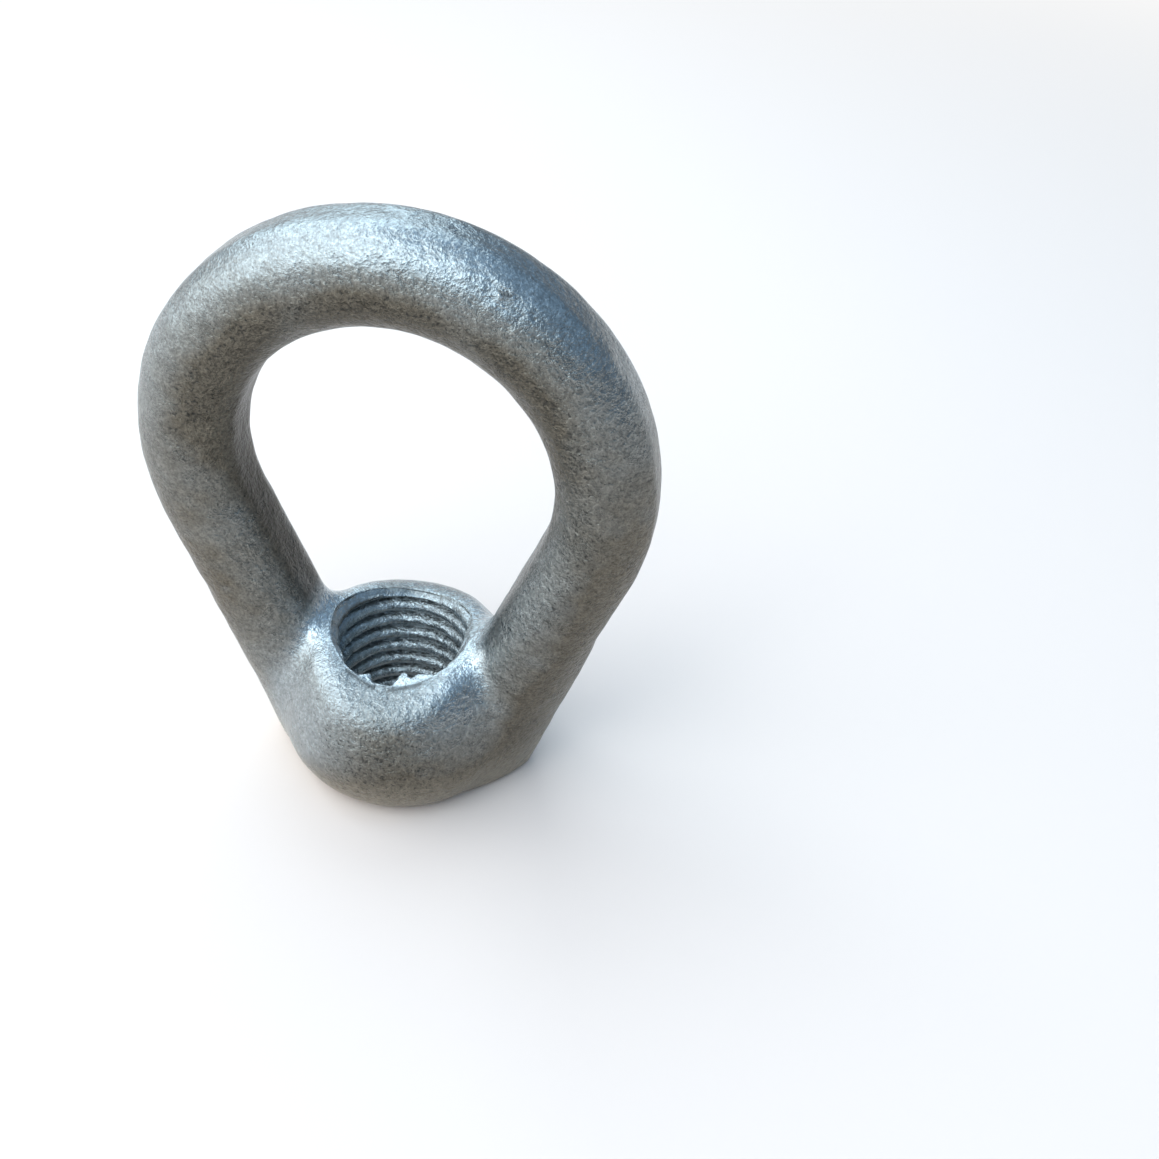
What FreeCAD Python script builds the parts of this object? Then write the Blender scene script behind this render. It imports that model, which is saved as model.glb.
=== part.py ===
"""Lifting eye nut: one drop-forged piece, tapped and hot-dip galvanised.

The nut stands on its flat base. The origin is the centre of the base face, on the axis of the bore.
+Z runs up the bore into the eye, +X across the eye in the parting plane of the forging, and +Y
through the eye. Lengths are in millimetres and angles in degrees.

The bow is turned about its own centre with the flash lands in its section. A leg that thickens
towards its foot is turned about its own centreline and mirrored. The hub is turned about the bore
and blended into the legs, and two heels carry the base out to its tips. The lands of the legs are
trimmed inside and outside, and the bore with its two countersinks is cut last.
"""
import FreeCAD
import Part
import Sketcher
import math
import os

SIZES = {
    # eye
    "eye_width": (38.1, "clear width of the eye at its widest"),
    "eye_height": (45.3, "clear height of the eye above the hub"),
    "bar_diameter": (13.2, "diameter of the round bar at the bow"),
    "foot_diameter": (14.0, "diameter of a leg where it runs into the base"),
    "leg_angle": (21.4, "lean of each leg from the vertical"),
    # hub
    "hub_height": (20.5, "height of the hub over the base"),
    "base_diameter": (25.8, "diameter of the hub at the base face"),
    "belly_diameter": (33.2, "largest diameter of the hub"),
    "belly_height": (7.0, "height of the hub's largest diameter"),
    "brow_margin": (1.0, "reach of the hub's flat top past the inner sides of the legs"),
    "tip_spread": (35.8, "distance between the two tips of the base"),
    "tip_width": (3.0, "width of the blunt tips of the base"),
    "flank_radius": (35.0, "radius of the base's flanks between hub and tips"),
    "heel_height": (28.0, "height at which the heel of a leg has run out"),
    # bore
    "bore_diameter": (17.0, "diameter of the plain bore, at the crests of the thread"),
    "mouth_diameter": (19.4, "diameter of the two countersinks"),
    "mouth_angle": (45.0, "angle of the countersinks from the bore's axis"),
    # blends and lands
    "crotch_radius": (3.0, "blend between the legs and the hub"),
    "rim_chamfer": (0.7, "chamfer under the flanks and tips of the base"),
    "land_width": (4.5, "width of the trimmed flash lands"),
}

# The bar and the hub run on this far below the base before the base is trimmed flat.
TRIM = 3.0
# The heels stand this far proud of the outline until the outside is trimmed.
PROUD = 0.4
# The trimming tools clear the forging by this much.
TOOL_ROOM = 10.0

UP = FreeCAD.Vector(0, 0, 1)

# Expressions shared by several features, in the sheet's own sizes
BOW_RADIUS = "(sizes.eye_width + sizes.bar_diameter) / 2"
BOW_HEIGHT = "(sizes.hub_height + sizes.eye_height - sizes.eye_width / 2)"
LAND_DEPTH = "(sizes.bar_diameter - sqrt(pow(sizes.bar_diameter; 2) - pow(sizes.land_width; 2))) / 2"
OUTLINE_RADIUS = f"(sizes.eye_width / 2 + sizes.bar_diameter - {LAND_DEPTH})"
# end of the bow's outer land, where the straight side down to the tip of the base begins
SIDE_X = f"({OUTLINE_RADIUS} * cos(sizes.leg_angle * 1 deg))"
SIDE_Z = f"({BOW_HEIGHT} - {OUTLINE_RADIUS} * sin(sizes.leg_angle * 1 deg))"
SIDE_SLOPE = f"(({SIDE_X} - sizes.tip_spread / 2) / {SIDE_Z})"
# radius at which the hub's dome meets its flat top: the legs' inner sides there and a margin
BROW_RADIUS = (
    f"({BOW_RADIUS} * cos(sizes.leg_angle * 1 deg)"
    f" - ({BOW_HEIGHT} - {BOW_RADIUS} * sin(sizes.leg_angle * 1 deg) - sizes.hub_height)"
    " * tan(sizes.leg_angle * 1 deg)"
    " - sizes.bar_diameter / 2 / cos(sizes.leg_angle * 1 deg) + sizes.brow_margin)"
)
# radius of the hub's side, and of the hub itself at the top of the chamfer
HUB_BULGE = "((sizes.belly_diameter - sizes.base_diameter) / 2)"
HUB_SIDE = f"((pow({HUB_BULGE}; 2) + pow(sizes.belly_height; 2)) / 2 / {HUB_BULGE})"
HUB_RIM = (
    f"(sizes.belly_diameter / 2 - {HUB_SIDE}"
    f" + sqrt(pow({HUB_SIDE}; 2) - pow(sizes.belly_height - sizes.rim_chamfer; 2)))"
)


class Sizes:
    """Driving and derived sizes as plain numbers, read from the sheet."""

    def __init__(self, sheet):
        for name in SIZES:
            setattr(self, name, float(sheet.get(name)))
        self.lean = math.radians(self.leg_angle)
        self.bar_radius = self.bar_diameter / 2
        self.foot_radius = self.foot_diameter / 2
        self.bow_radius = self.eye_width / 2 + self.bar_radius
        self.bow_height = self.hub_height + self.eye_height - self.eye_width / 2
        chord = math.sqrt(self.bar_diameter**2 - self.land_width**2)
        self.land_depth = (self.bar_diameter - chord) / 2
        self.outline_radius = self.eye_width / 2 + self.bar_diameter - self.land_depth
        self.side_x = self.outline_radius * math.cos(self.lean)
        self.side_z = self.bow_height - self.outline_radius * math.sin(self.lean)
        self.side_slope = (self.side_x - self.tip_spread / 2) / self.side_z
        bulge = (self.belly_diameter - self.base_diameter) / 2
        self.hub_side = (bulge**2 + self.belly_height**2) / 2 / bulge
        drop = self.belly_height - self.rim_chamfer
        self.hub_rim = self.belly_diameter / 2 - self.hub_side + math.sqrt(self.hub_side**2 - drop**2)
        # end of the bow and foot of the leg on the centreline, in the XZ plane
        self.turn_x = self.bow_radius * math.cos(self.lean)
        self.turn_z = self.bow_height - self.bow_radius * math.sin(self.lean)
        self.foot_x = self.turn_x - (self.turn_z + TRIM) * math.tan(self.lean)
        drop = (self.turn_z - self.hub_height) * math.tan(self.lean)
        self.brow_radius = self.turn_x - drop - self.bar_radius / math.cos(self.lean) + self.brow_margin


def make_sheet(doc):
    """Spreadsheet of the driving sizes: name, value and meaning on each row."""
    sheet = doc.addObject("Spreadsheet::Sheet", "sizes")
    for row, (name, (value, meaning)) in enumerate(SIZES.items(), start=1):
        sheet.set(f"A{row}", name)
        sheet.set(f"B{row}", str(value))
        sheet.setAlias(f"B{row}", name)
        sheet.set(f"C{row}", meaning)
    doc.recompute()
    return sheet


def origin_item(body, role):
    """The body's own origin plane or axis with this role."""
    for feature in body.Origin.OriginFeatures:
        if feature.Role == role:
            return feature
    raise ValueError(role)


def new_sketch(body, name, role):
    """Empty sketch on one of the body's origin planes."""
    sketch = body.newObject("Sketcher::SketchObject", name)
    sketch.AttachmentSupport = [(origin_item(body, role), "")]
    sketch.MapMode = "FlatFace"
    return sketch


def bind(sketch, constraint, name, expression):
    """Add a dimension to the sketch and bind it to an expression of the sheet's sizes."""
    index = sketch.addConstraint(constraint)
    sketch.renameConstraint(index, name)
    sketch.setExpression(f"Constraints.{name}", expression)


def chain(sketch, first, last):
    """Join each piece of geometry from first to last to the next by its end, and close the loop."""
    for index in range(first, last):
        sketch.addConstraint(Sketcher.Constraint("Coincident", index, 2, index + 1, 1))
    sketch.addConstraint(Sketcher.Constraint("Coincident", last, 2, first, 1))


def point(x, y):
    """Point in a sketch's plane."""
    return FreeCAD.Vector(x, y, 0)


def add_bow(body, size):
    """The bow: round bar with a flat land inside and outside, turned about the centre of the bow."""
    crown = size.bow_height + size.bow_radius
    half = size.land_width / 2
    flat = size.bar_radius - size.land_depth
    turn = math.atan2(flat, half)
    circle = Part.Circle(point(0, crown), UP, size.bar_radius)
    sketch = new_sketch(body, "bow_section", "YZ_Plane")
    sketch.addGeometry(Part.ArcOfCircle(circle, -turn, turn), False)
    sketch.addGeometry(Part.LineSegment(point(half, crown + flat), point(-half, crown + flat)), False)
    sketch.addGeometry(Part.ArcOfCircle(circle, math.pi - turn, math.pi + turn), False)
    sketch.addGeometry(Part.LineSegment(point(-half, crown - flat), point(half, crown - flat)), False)
    # the axis of the bow
    sketch.addGeometry(Part.LineSegment(point(0, size.bow_height), point(half, size.bow_height)), True)
    chain(sketch, 0, 3)
    sketch.addConstraint(Sketcher.Constraint("PointOnObject", 0, 3, -2))
    sketch.addConstraint(Sketcher.Constraint("Coincident", 2, 3, 0, 3))
    sketch.addConstraint(Sketcher.Constraint("Symmetric", 0, 1, 2, 2, -2))
    sketch.addConstraint(Sketcher.Constraint("Horizontal", 1))
    sketch.addConstraint(Sketcher.Constraint("Vertical", 0, 1, 0, 2))
    sketch.addConstraint(Sketcher.Constraint("PointOnObject", 4, 1, -2))
    sketch.addConstraint(Sketcher.Constraint("Horizontal", 4))
    sketch.addConstraint(Sketcher.Constraint("Vertical", 4, 2, 0, 2))
    bind(sketch, Sketcher.Constraint("Radius", 0, size.bar_radius), "bar_radius", "sizes.bar_diameter / 2")
    bind(sketch, Sketcher.Constraint("DistanceX", -1, 1, 0, 2, half), "land", "sizes.land_width / 2")
    height = Sketcher.Constraint("DistanceY", -1, 1, 0, 3, crown)
    bind(sketch, height, "crown_height", f"{BOW_HEIGHT} + {BOW_RADIUS}")
    rise = Sketcher.Constraint("DistanceY", -1, 1, 4, 1, size.bow_height)
    bind(sketch, rise, "bow_height", BOW_HEIGHT)

    bow = body.newObject("PartDesign::Revolution", "bow")
    bow.Profile = sketch
    bow.ReferenceAxis = (sketch, ["Axis0"])
    bow.Midplane = True
    bow.Angle = 180 + 2 * size.leg_angle
    bow.setExpression("Angle", "180 deg + 2 deg * sizes.leg_angle")
    body.Document.recompute()
    return bow


def add_leg(body, size):
    """One leg: a slim cone turned about its own centreline, from the bow down past the base."""
    sketch = new_sketch(body, "leg_profile", "XZ_Plane")
    across = point(math.cos(size.lean), -math.sin(size.lean))
    turn = point(size.turn_x, size.turn_z)
    foot = point(size.foot_x, -TRIM)
    corners = [turn, turn + across * size.bar_radius, foot + across * size.foot_radius, foot]
    for start, end in ((0, 1), (1, 2), (2, 3), (3, 0)):
        sketch.addGeometry(Part.LineSegment(corners[start], corners[end]), False)
    chain(sketch, 0, 3)
    sketch.addConstraint(Sketcher.Constraint("Perpendicular", 3, 0))
    sketch.addConstraint(Sketcher.Constraint("Perpendicular", 3, 2))
    sketch.addConstraint(Sketcher.Constraint("DistanceY", 3, 1, -1, 1, TRIM))
    top = Sketcher.Constraint("Distance", 0, size.bar_radius)
    bind(sketch, top, "top_radius", "sizes.bar_diameter / 2")
    bottom = Sketcher.Constraint("Distance", 2, size.foot_radius)
    bind(sketch, bottom, "foot_radius", "sizes.foot_diameter / 2")
    reach = Sketcher.Constraint("DistanceX", -1, 1, 0, 1, size.turn_x)
    bind(sketch, reach, "turn_x", f"{BOW_RADIUS} * cos(sizes.leg_angle * 1 deg)")
    rise = Sketcher.Constraint("DistanceY", -1, 1, 0, 1, size.turn_z)
    bind(sketch, rise, "turn_z", f"{BOW_HEIGHT} - {BOW_RADIUS} * sin(sizes.leg_angle * 1 deg)")
    run = Sketcher.Constraint("DistanceX", 3, 1, 0, 1, size.turn_x - size.foot_x)
    drop = f"({BOW_HEIGHT} - {BOW_RADIUS} * sin(sizes.leg_angle * 1 deg) + {TRIM})"
    bind(sketch, run, "lean_run", f"{drop} * tan(sizes.leg_angle * 1 deg)")

    leg = body.newObject("PartDesign::Revolution", "leg")
    leg.Profile = sketch
    leg.ReferenceAxis = (sketch, ["Edge4"])
    leg.Angle = 360.0
    body.Document.recompute()
    return leg


def mirror_leg(body, leg):
    """The other leg."""
    mirror = body.newObject("PartDesign::Mirrored", "both_legs")
    mirror.Originals = [leg]
    mirror.MirrorPlane = (origin_item(body, "YZ_Plane"), [""])
    body.Tip = mirror
    body.Document.recompute()
    return mirror


def add_hub(body, size):
    """Round hub: side bulging from base to belly, dome from belly to the brow beside the bore."""
    base = size.base_diameter / 2
    belly = size.belly_diameter / 2
    brow = size.brow_radius
    waist = size.belly_height
    top = size.hub_height
    side_radius = size.hub_side
    dome_radius = ((belly - brow) ** 2 + (top - waist) ** 2) / (2 * (belly - brow))
    side = Part.Circle(point(belly - side_radius, waist), UP, side_radius)
    dome = Part.Circle(point(belly - dome_radius, waist), UP, dome_radius)
    corners = [point(brow, top), point(0, top), point(0, -TRIM), point(base, -TRIM), point(base, 0)]

    sketch = new_sketch(body, "hub_profile", "XZ_Plane")
    sketch.addGeometry(Part.ArcOfCircle(side, -math.asin(waist / side_radius), 0), False)
    sketch.addGeometry(Part.ArcOfCircle(dome, 0, math.asin((top - waist) / dome_radius)), False)
    for start, end in zip(corners, corners[1:]):
        sketch.addGeometry(Part.LineSegment(start, end), False)
    sketch.addConstraint(Sketcher.Constraint("Tangent", 0, 2, 1, 1))
    for index in range(1, 5):
        sketch.addConstraint(Sketcher.Constraint("Coincident", index, 2, index + 1, 1))
    sketch.addConstraint(Sketcher.Constraint("Coincident", 5, 2, 0, 1))
    sketch.addConstraint(Sketcher.Constraint("Horizontal", 2))
    sketch.addConstraint(Sketcher.Constraint("PointOnObject", 3, 1, -2))
    sketch.addConstraint(Sketcher.Constraint("Vertical", 3))
    sketch.addConstraint(Sketcher.Constraint("Horizontal", 4))
    sketch.addConstraint(Sketcher.Constraint("Vertical", 5))
    sketch.addConstraint(Sketcher.Constraint("PointOnObject", 0, 1, -1))
    sketch.addConstraint(Sketcher.Constraint("DistanceY", 3, 2, -1, 1, TRIM))
    # both arcs stand upright at the belly
    sketch.addConstraint(Sketcher.Constraint("Horizontal", 0, 3, 0, 2))
    for name, arc, end, length, expression in (
        ("base_radius", 0, 1, base, "sizes.base_diameter / 2"),
        ("belly_radius", 0, 2, belly, "sizes.belly_diameter / 2"),
        ("brow_radius", 1, 2, brow, BROW_RADIUS),
    ):
        bind(sketch, Sketcher.Constraint("DistanceX", -1, 1, arc, end, length), name, expression)
    bind(sketch, Sketcher.Constraint("DistanceY", -1, 1, 0, 2, waist), "waist", "sizes.belly_height")
    bind(sketch, Sketcher.Constraint("DistanceY", -1, 1, 1, 2, top), "top", "sizes.hub_height")

    hub = body.newObject("PartDesign::Revolution", "hub")
    hub.Profile = sketch
    hub.ReferenceAxis = (sketch, ["V_Axis"])
    hub.Angle = 360.0
    body.Document.recompute()
    return hub


def on_leg(spot, size):
    """Whether a point lies on the round surface of either leg."""
    along = FreeCAD.Vector(-math.sin(size.lean), 0, -math.cos(size.lean))
    offset = FreeCAD.Vector(abs(spot.x) - size.turn_x, spot.y, spot.z - size.turn_z)
    down = offset.dot(along)
    length = (size.turn_z + TRIM) / math.cos(size.lean)
    radius = size.bar_radius + (size.foot_radius - size.bar_radius) * down / length
    return abs((offset - along * down).Length - radius) < 0.01


def crotch_edges(shape, size):
    """Names of the edges where the legs' round surface meets the hub's side, dome and top."""
    names = []
    for index, edge in enumerate(shape.Edges, start=1):
        first, last = edge.ParameterRange
        spots = [edge.valueAt(first + (last - first) * part) for part in (0.2, 0.5, 0.8)]
        above_trim = all(spot.z > 0.01 - TRIM for spot in spots)
        below_top = all(spot.z < size.hub_height + 0.01 for spot in spots)
        straight = edge.Curve.TypeId == "Part::GeomLine"
        if all(on_leg(spot, size) for spot in spots) and above_trim and below_top and not straight:
            names.append(f"Edge{index}")
    return names


def blend_crotches(body, hub, size):
    """Blend the legs into the hub all round."""
    blend = body.newObject("PartDesign::Fillet", "crotch_blend")
    blend.Base = (hub, crotch_edges(hub.Shape, size))
    blend.Radius = size.crotch_radius
    blend.setExpression("Radius", "sizes.crotch_radius")
    body.Document.recompute()
    return blend


def trim_base(body, size):
    """Cut everything below the base face away."""
    reach = size.bow_radius + size.bar_radius + TOOL_ROOM
    sketch = new_sketch(body, "base_tool", "XY_Plane")
    sketch.addGeometry(Part.Circle(point(0, 0), UP, reach), False)
    sketch.addConstraint(Sketcher.Constraint("Coincident", 0, 3, -1, 1))
    span = Sketcher.Constraint("Radius", 0, reach)
    bind(sketch, span, "reach", f"{BOW_RADIUS} + sizes.bar_diameter / 2 + {TOOL_ROOM}")
    trim = body.newObject("PartDesign::Pocket", "base_trim")
    trim.Profile = sketch
    trim.Length = TRIM + TOOL_ROOM
    trim.Reversed = False
    body.Document.recompute()
    return trim


def heel_section(body, name, height, hub, tip, flat):
    """Heel cut level: two flanks, slightly round, that touch the hub and run out to the tip.

    Each of height, hub (the hub's radius there), tip (its distance from the axis) and flat (half the
    width of the tip) is a pair of the number and its expression.
    """
    half = flat[0]
    round_radius = body.Document.sizes.flank_radius
    gap = round_radius - hub[0]
    reach = math.hypot(tip[0], half)
    fit = (round_radius**2 - gap**2 - reach**2) / (2 * gap * reach)
    touch = math.atan2(half, tip[0]) + math.acos(fit)
    centre = point(-gap * math.cos(touch), -gap * math.sin(touch))
    side = point(hub[0] * math.cos(touch), hub[0] * math.sin(touch))
    nose_x = tip[0] + PROUD
    turn = math.acos((nose_x - centre.x) / round_radius)
    nose = point(nose_x, centre.y + round_radius * math.sin(turn))
    mirrored = Part.Circle(point(centre.x, -centre.y), UP, round_radius)
    sketch = new_sketch(body, name, "XY_Plane")
    sketch.setExpression("AttachmentOffset.Base.z", height[1])
    sketch.addGeometry(Part.ArcOfCircle(Part.Circle(centre, UP, round_radius), turn, touch), False)
    sketch.addGeometry(Part.LineSegment(side, point(side.x, -side.y)), False)
    sketch.addGeometry(Part.ArcOfCircle(mirrored, -touch, -turn), False)
    sketch.addGeometry(Part.LineSegment(point(nose.x, -nose.y), nose), False)
    chain(sketch, 0, 3)
    # a spoke square to the flank, from the axis to where the flank touches the hub
    sketch.addGeometry(Part.LineSegment(point(0, 0), side), True)
    sketch.addGeometry(Part.Point(point(tip[0], half)), True)
    sketch.addConstraint(Sketcher.Constraint("Coincident", 4, 1, -1, 1))
    sketch.addConstraint(Sketcher.Constraint("Coincident", 4, 2, 0, 2))
    sketch.addConstraint(Sketcher.Constraint("PointOnObject", 0, 3, 4))
    sketch.addConstraint(Sketcher.Constraint("PointOnObject", 5, 1, 0))
    sketch.addConstraint(Sketcher.Constraint("Symmetric", 0, 2, 2, 1, -1))
    sketch.addConstraint(Sketcher.Constraint("Symmetric", 0, 1, 2, 2, -1))
    sketch.addConstraint(Sketcher.Constraint("Equal", 0, 2))
    bind(sketch, Sketcher.Constraint("Radius", 0, round_radius), "round", "sizes.flank_radius")
    bind(sketch, Sketcher.Constraint("Distance", 4, hub[0]), "hub", hub[1])
    bind(sketch, Sketcher.Constraint("DistanceX", -1, 1, 5, 1, tip[0]), "tip", tip[1])
    bind(sketch, Sketcher.Constraint("DistanceY", -1, 1, 5, 1, half), "flat", flat[1])
    bind(sketch, Sketcher.Constraint("DistanceX", -1, 1, 0, 1, nose.x), "nose", f"{tip[1]} + {PROUD}")
    return sketch


def heel_top(body, size):
    """Heel where it has run out: two flanks from the leg's sides to the outline of the bar."""
    half = size.land_width / 4
    leg_x = size.turn_x - (size.turn_z - size.heel_height) * math.tan(size.lean)
    side = point(leg_x + size.bar_radius / 3, size.bar_radius * 0.9)
    nose = point(size.tip_spread / 2 + size.heel_height * size.side_slope + PROUD, half)
    sketch = new_sketch(body, "heel_top", "XY_Plane")
    sketch.setExpression("AttachmentOffset.Base.z", "sizes.heel_height")
    corners = [nose, side, point(side.x, -side.y), point(nose.x, -nose.y)]
    for index, start in enumerate(corners):
        sketch.addGeometry(Part.LineSegment(start, corners[(index + 1) % 4]), False)
    chain(sketch, 0, 3)
    sketch.addConstraint(Sketcher.Constraint("Symmetric", 0, 1, 2, 2, -1))
    sketch.addConstraint(Sketcher.Constraint("Symmetric", 1, 1, 1, 2, -1))
    turn_z = f"({BOW_HEIGHT} - {BOW_RADIUS} * sin(sizes.leg_angle * 1 deg))"
    turn_x = f"{BOW_RADIUS} * cos(sizes.leg_angle * 1 deg)"
    leg_text = f"{turn_x} - ({turn_z} - sizes.heel_height) * tan(sizes.leg_angle * 1 deg)"
    side_text = f"{leg_text} + sizes.bar_diameter / 6"
    bind(sketch, Sketcher.Constraint("DistanceX", -1, 1, 1, 1, side.x), "side_x", side_text)
    bind(sketch, Sketcher.Constraint("DistanceY", -1, 1, 1, 1, side.y), "side_y", "sizes.bar_diameter * 0.45")
    nose_text = f"sizes.tip_spread / 2 + sizes.heel_height * {SIDE_SLOPE} + {PROUD}"
    bind(sketch, Sketcher.Constraint("DistanceX", -1, 1, 0, 1, nose.x), "nose_x", nose_text)
    bind(sketch, Sketcher.Constraint("DistanceY", -1, 1, 0, 1, half), "nose_y", "sizes.land_width / 4")
    return sketch


def add_heels(body, size):
    """Heels that carry the base out to its two tips and run up the outer sides of the legs."""
    cut = size.rim_chamfer
    tip = size.tip_spread / 2
    half = size.tip_width / 2
    low = heel_section(
        body,
        "heel_foot",
        (0, "0 mm"),
        (size.base_diameter / 2, "sizes.base_diameter / 2"),
        (tip - cut, "sizes.tip_spread / 2 - sizes.rim_chamfer"),
        (half - cut / 2, "sizes.tip_width / 2 - sizes.rim_chamfer / 2"),
    )
    rim = heel_section(
        body,
        "heel_rim",
        (cut, "sizes.rim_chamfer"),
        (size.hub_rim, HUB_RIM),
        (tip + cut * size.side_slope, f"sizes.tip_spread / 2 + sizes.rim_chamfer * {SIDE_SLOPE}"),
        (half, "sizes.tip_width / 2"),
    )
    high = heel_top(body, size)
    body.Document.recompute()
    heel = body.newObject("PartDesign::AdditiveLoft", "heel")
    heel.Profile = low
    heel.Sections = [rim, high]
    heel.Ruled = True
    body.Document.recompute()
    both = body.newObject("PartDesign::Mirrored", "both_heels")
    both.Originals = [heel]
    both.MirrorPlane = (origin_item(body, "YZ_Plane"), [""])
    body.Tip = both
    body.Document.recompute()
    return both


def trim_eye(body, size):
    """Inner land of the legs: a flat strip down each leg and round into the top of the hub."""
    arc_radius = size.eye_width / 2 + size.land_depth
    corner_radius = size.crotch_radius
    floor = size.hub_height
    across = point(math.cos(size.lean), -math.sin(size.lean))
    down = point(-math.sin(size.lean), -math.cos(size.lean))
    centre = point(0, size.bow_height)
    shoulder = centre + across * arc_radius
    # the corner's centre lies one corner radius inside the leg's line and above the floor
    level = floor + corner_radius
    run = (centre.y + across.y * (arc_radius - corner_radius) - level) / -down.y
    pivot = centre + across * (arc_radius - corner_radius) + down * run
    heel = pivot + across * corner_radius
    toe = point(pivot.x, floor)
    right = Part.Circle(pivot, UP, corner_radius)
    left = Part.Circle(point(-pivot.x, pivot.y), UP, corner_radius)
    sketch = new_sketch(body, "eye_tool", "XZ_Plane")
    sketch.addGeometry(Part.LineSegment(shoulder, centre), False)
    sketch.addGeometry(Part.LineSegment(centre, point(-shoulder.x, shoulder.y)), False)
    sketch.addGeometry(Part.LineSegment(point(-shoulder.x, shoulder.y), point(-heel.x, heel.y)), False)
    sketch.addGeometry(Part.ArcOfCircle(left, math.pi + size.lean, 1.5 * math.pi), False)
    sketch.addGeometry(Part.LineSegment(point(-toe.x, toe.y), toe), False)
    sketch.addGeometry(Part.ArcOfCircle(right, 1.5 * math.pi, 2 * math.pi - size.lean), False)
    sketch.addGeometry(Part.LineSegment(heel, shoulder), False)
    sketch.addConstraint(Sketcher.Constraint("Coincident", 0, 2, 1, 1))
    sketch.addConstraint(Sketcher.Constraint("Coincident", 1, 2, 2, 1))
    for index in range(2, 6):
        sketch.addConstraint(Sketcher.Constraint("Tangent", index, 2, index + 1, 1))
    sketch.addConstraint(Sketcher.Constraint("Coincident", 6, 2, 0, 1))
    sketch.addConstraint(Sketcher.Constraint("PointOnObject", 0, 2, -2))
    sketch.addConstraint(Sketcher.Constraint("Symmetric", 0, 1, 1, 2, -2))
    sketch.addConstraint(Sketcher.Constraint("Symmetric", 4, 1, 4, 2, -2))
    sketch.addConstraint(Sketcher.Constraint("Perpendicular", 0, 6))
    sketch.addConstraint(Sketcher.Constraint("Equal", 3, 5))
    bind(sketch, Sketcher.Constraint("Distance", 0, arc_radius), "reach", f"sizes.eye_width / 2 + {LAND_DEPTH}")
    bind(sketch, Sketcher.Constraint("Radius", 5, corner_radius), "corner_radius", "sizes.crotch_radius")
    rise = Sketcher.Constraint("DistanceY", -1, 1, 0, 2, size.bow_height)
    bind(sketch, rise, "bow_height", BOW_HEIGHT)
    bind(sketch, Sketcher.Constraint("DistanceY", -1, 1, 4, 1, floor), "floor", "sizes.hub_height")
    drop = Sketcher.Constraint("DistanceY", 0, 1, 0, 2, -across.y * arc_radius)
    bind(sketch, drop, "shoulder", f"(sizes.eye_width / 2 + {LAND_DEPTH}) * sin(sizes.leg_angle * 1 deg)")
    punch = body.newObject("PartDesign::Pocket", "eye_trim")
    punch.Profile = sketch
    punch.Type = "ThroughAll"
    punch.Midplane = True
    body.Document.recompute()
    return punch


def trim_outside(body, size):
    """Outer land of the legs: a flat strip from the end of the bow down to the tip of the base."""
    cut = size.rim_chamfer
    side = point(size.side_x, size.side_z)
    tip = point(size.tip_spread / 2 + cut * size.side_slope, cut)
    toe = point(size.tip_spread / 2 - cut, 0)
    out = point(size.side_x + TOOL_ROOM * math.cos(size.lean), size.side_z - TOOL_ROOM * math.sin(size.lean))
    corners = [toe, tip, side, out, point(out.x, 0)]
    sketch = new_sketch(body, "outline_tool", "XZ_Plane")
    for first, sign in ((0, 1), (5, -1)):
        spots = [point(sign * corner.x, corner.y) for corner in corners]
        for index, start in enumerate(spots):
            sketch.addGeometry(Part.LineSegment(start, spots[(index + 1) % 5]), False)
        chain(sketch, first, first + 4)
    sketch.addConstraint(Sketcher.Constraint("PointOnObject", 0, 1, -1))
    sketch.addConstraint(Sketcher.Constraint("Horizontal", 4))
    sketch.addConstraint(Sketcher.Constraint("Vertical", 3))
    for index in range(5):
        sketch.addConstraint(Sketcher.Constraint("Symmetric", index, 1, index + 5, 1, -2))
    toe_x = "sizes.tip_spread / 2 - sizes.rim_chamfer"
    tip_x = f"sizes.tip_spread / 2 + sizes.rim_chamfer * {SIDE_SLOPE}"
    bind(sketch, Sketcher.Constraint("DistanceX", -1, 1, 0, 1, toe.x), "toe", toe_x)
    bind(sketch, Sketcher.Constraint("DistanceX", -1, 1, 1, 1, tip.x), "tip_x", tip_x)
    bind(sketch, Sketcher.Constraint("DistanceY", -1, 1, 1, 1, cut), "tip_z", "sizes.rim_chamfer")
    bind(sketch, Sketcher.Constraint("DistanceX", -1, 1, 2, 1, side.x), "side_x", SIDE_X)
    bind(sketch, Sketcher.Constraint("DistanceY", -1, 1, 2, 1, side.y), "side_z", SIDE_Z)
    out_x = f"{SIDE_X} + {TOOL_ROOM} * cos(sizes.leg_angle * 1 deg)"
    bind(sketch, Sketcher.Constraint("DistanceX", -1, 1, 3, 1, out.x), "out_x", out_x)
    out_z = f"{SIDE_Z} - {TOOL_ROOM} * sin(sizes.leg_angle * 1 deg)"
    bind(sketch, Sketcher.Constraint("DistanceY", -1, 1, 3, 1, out.y), "out_z", out_z)
    trim = body.newObject("PartDesign::Pocket", "outline_trim")
    trim.Profile = sketch
    trim.Type = "ThroughAll"
    trim.Midplane = True
    body.Document.recompute()
    return trim


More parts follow.
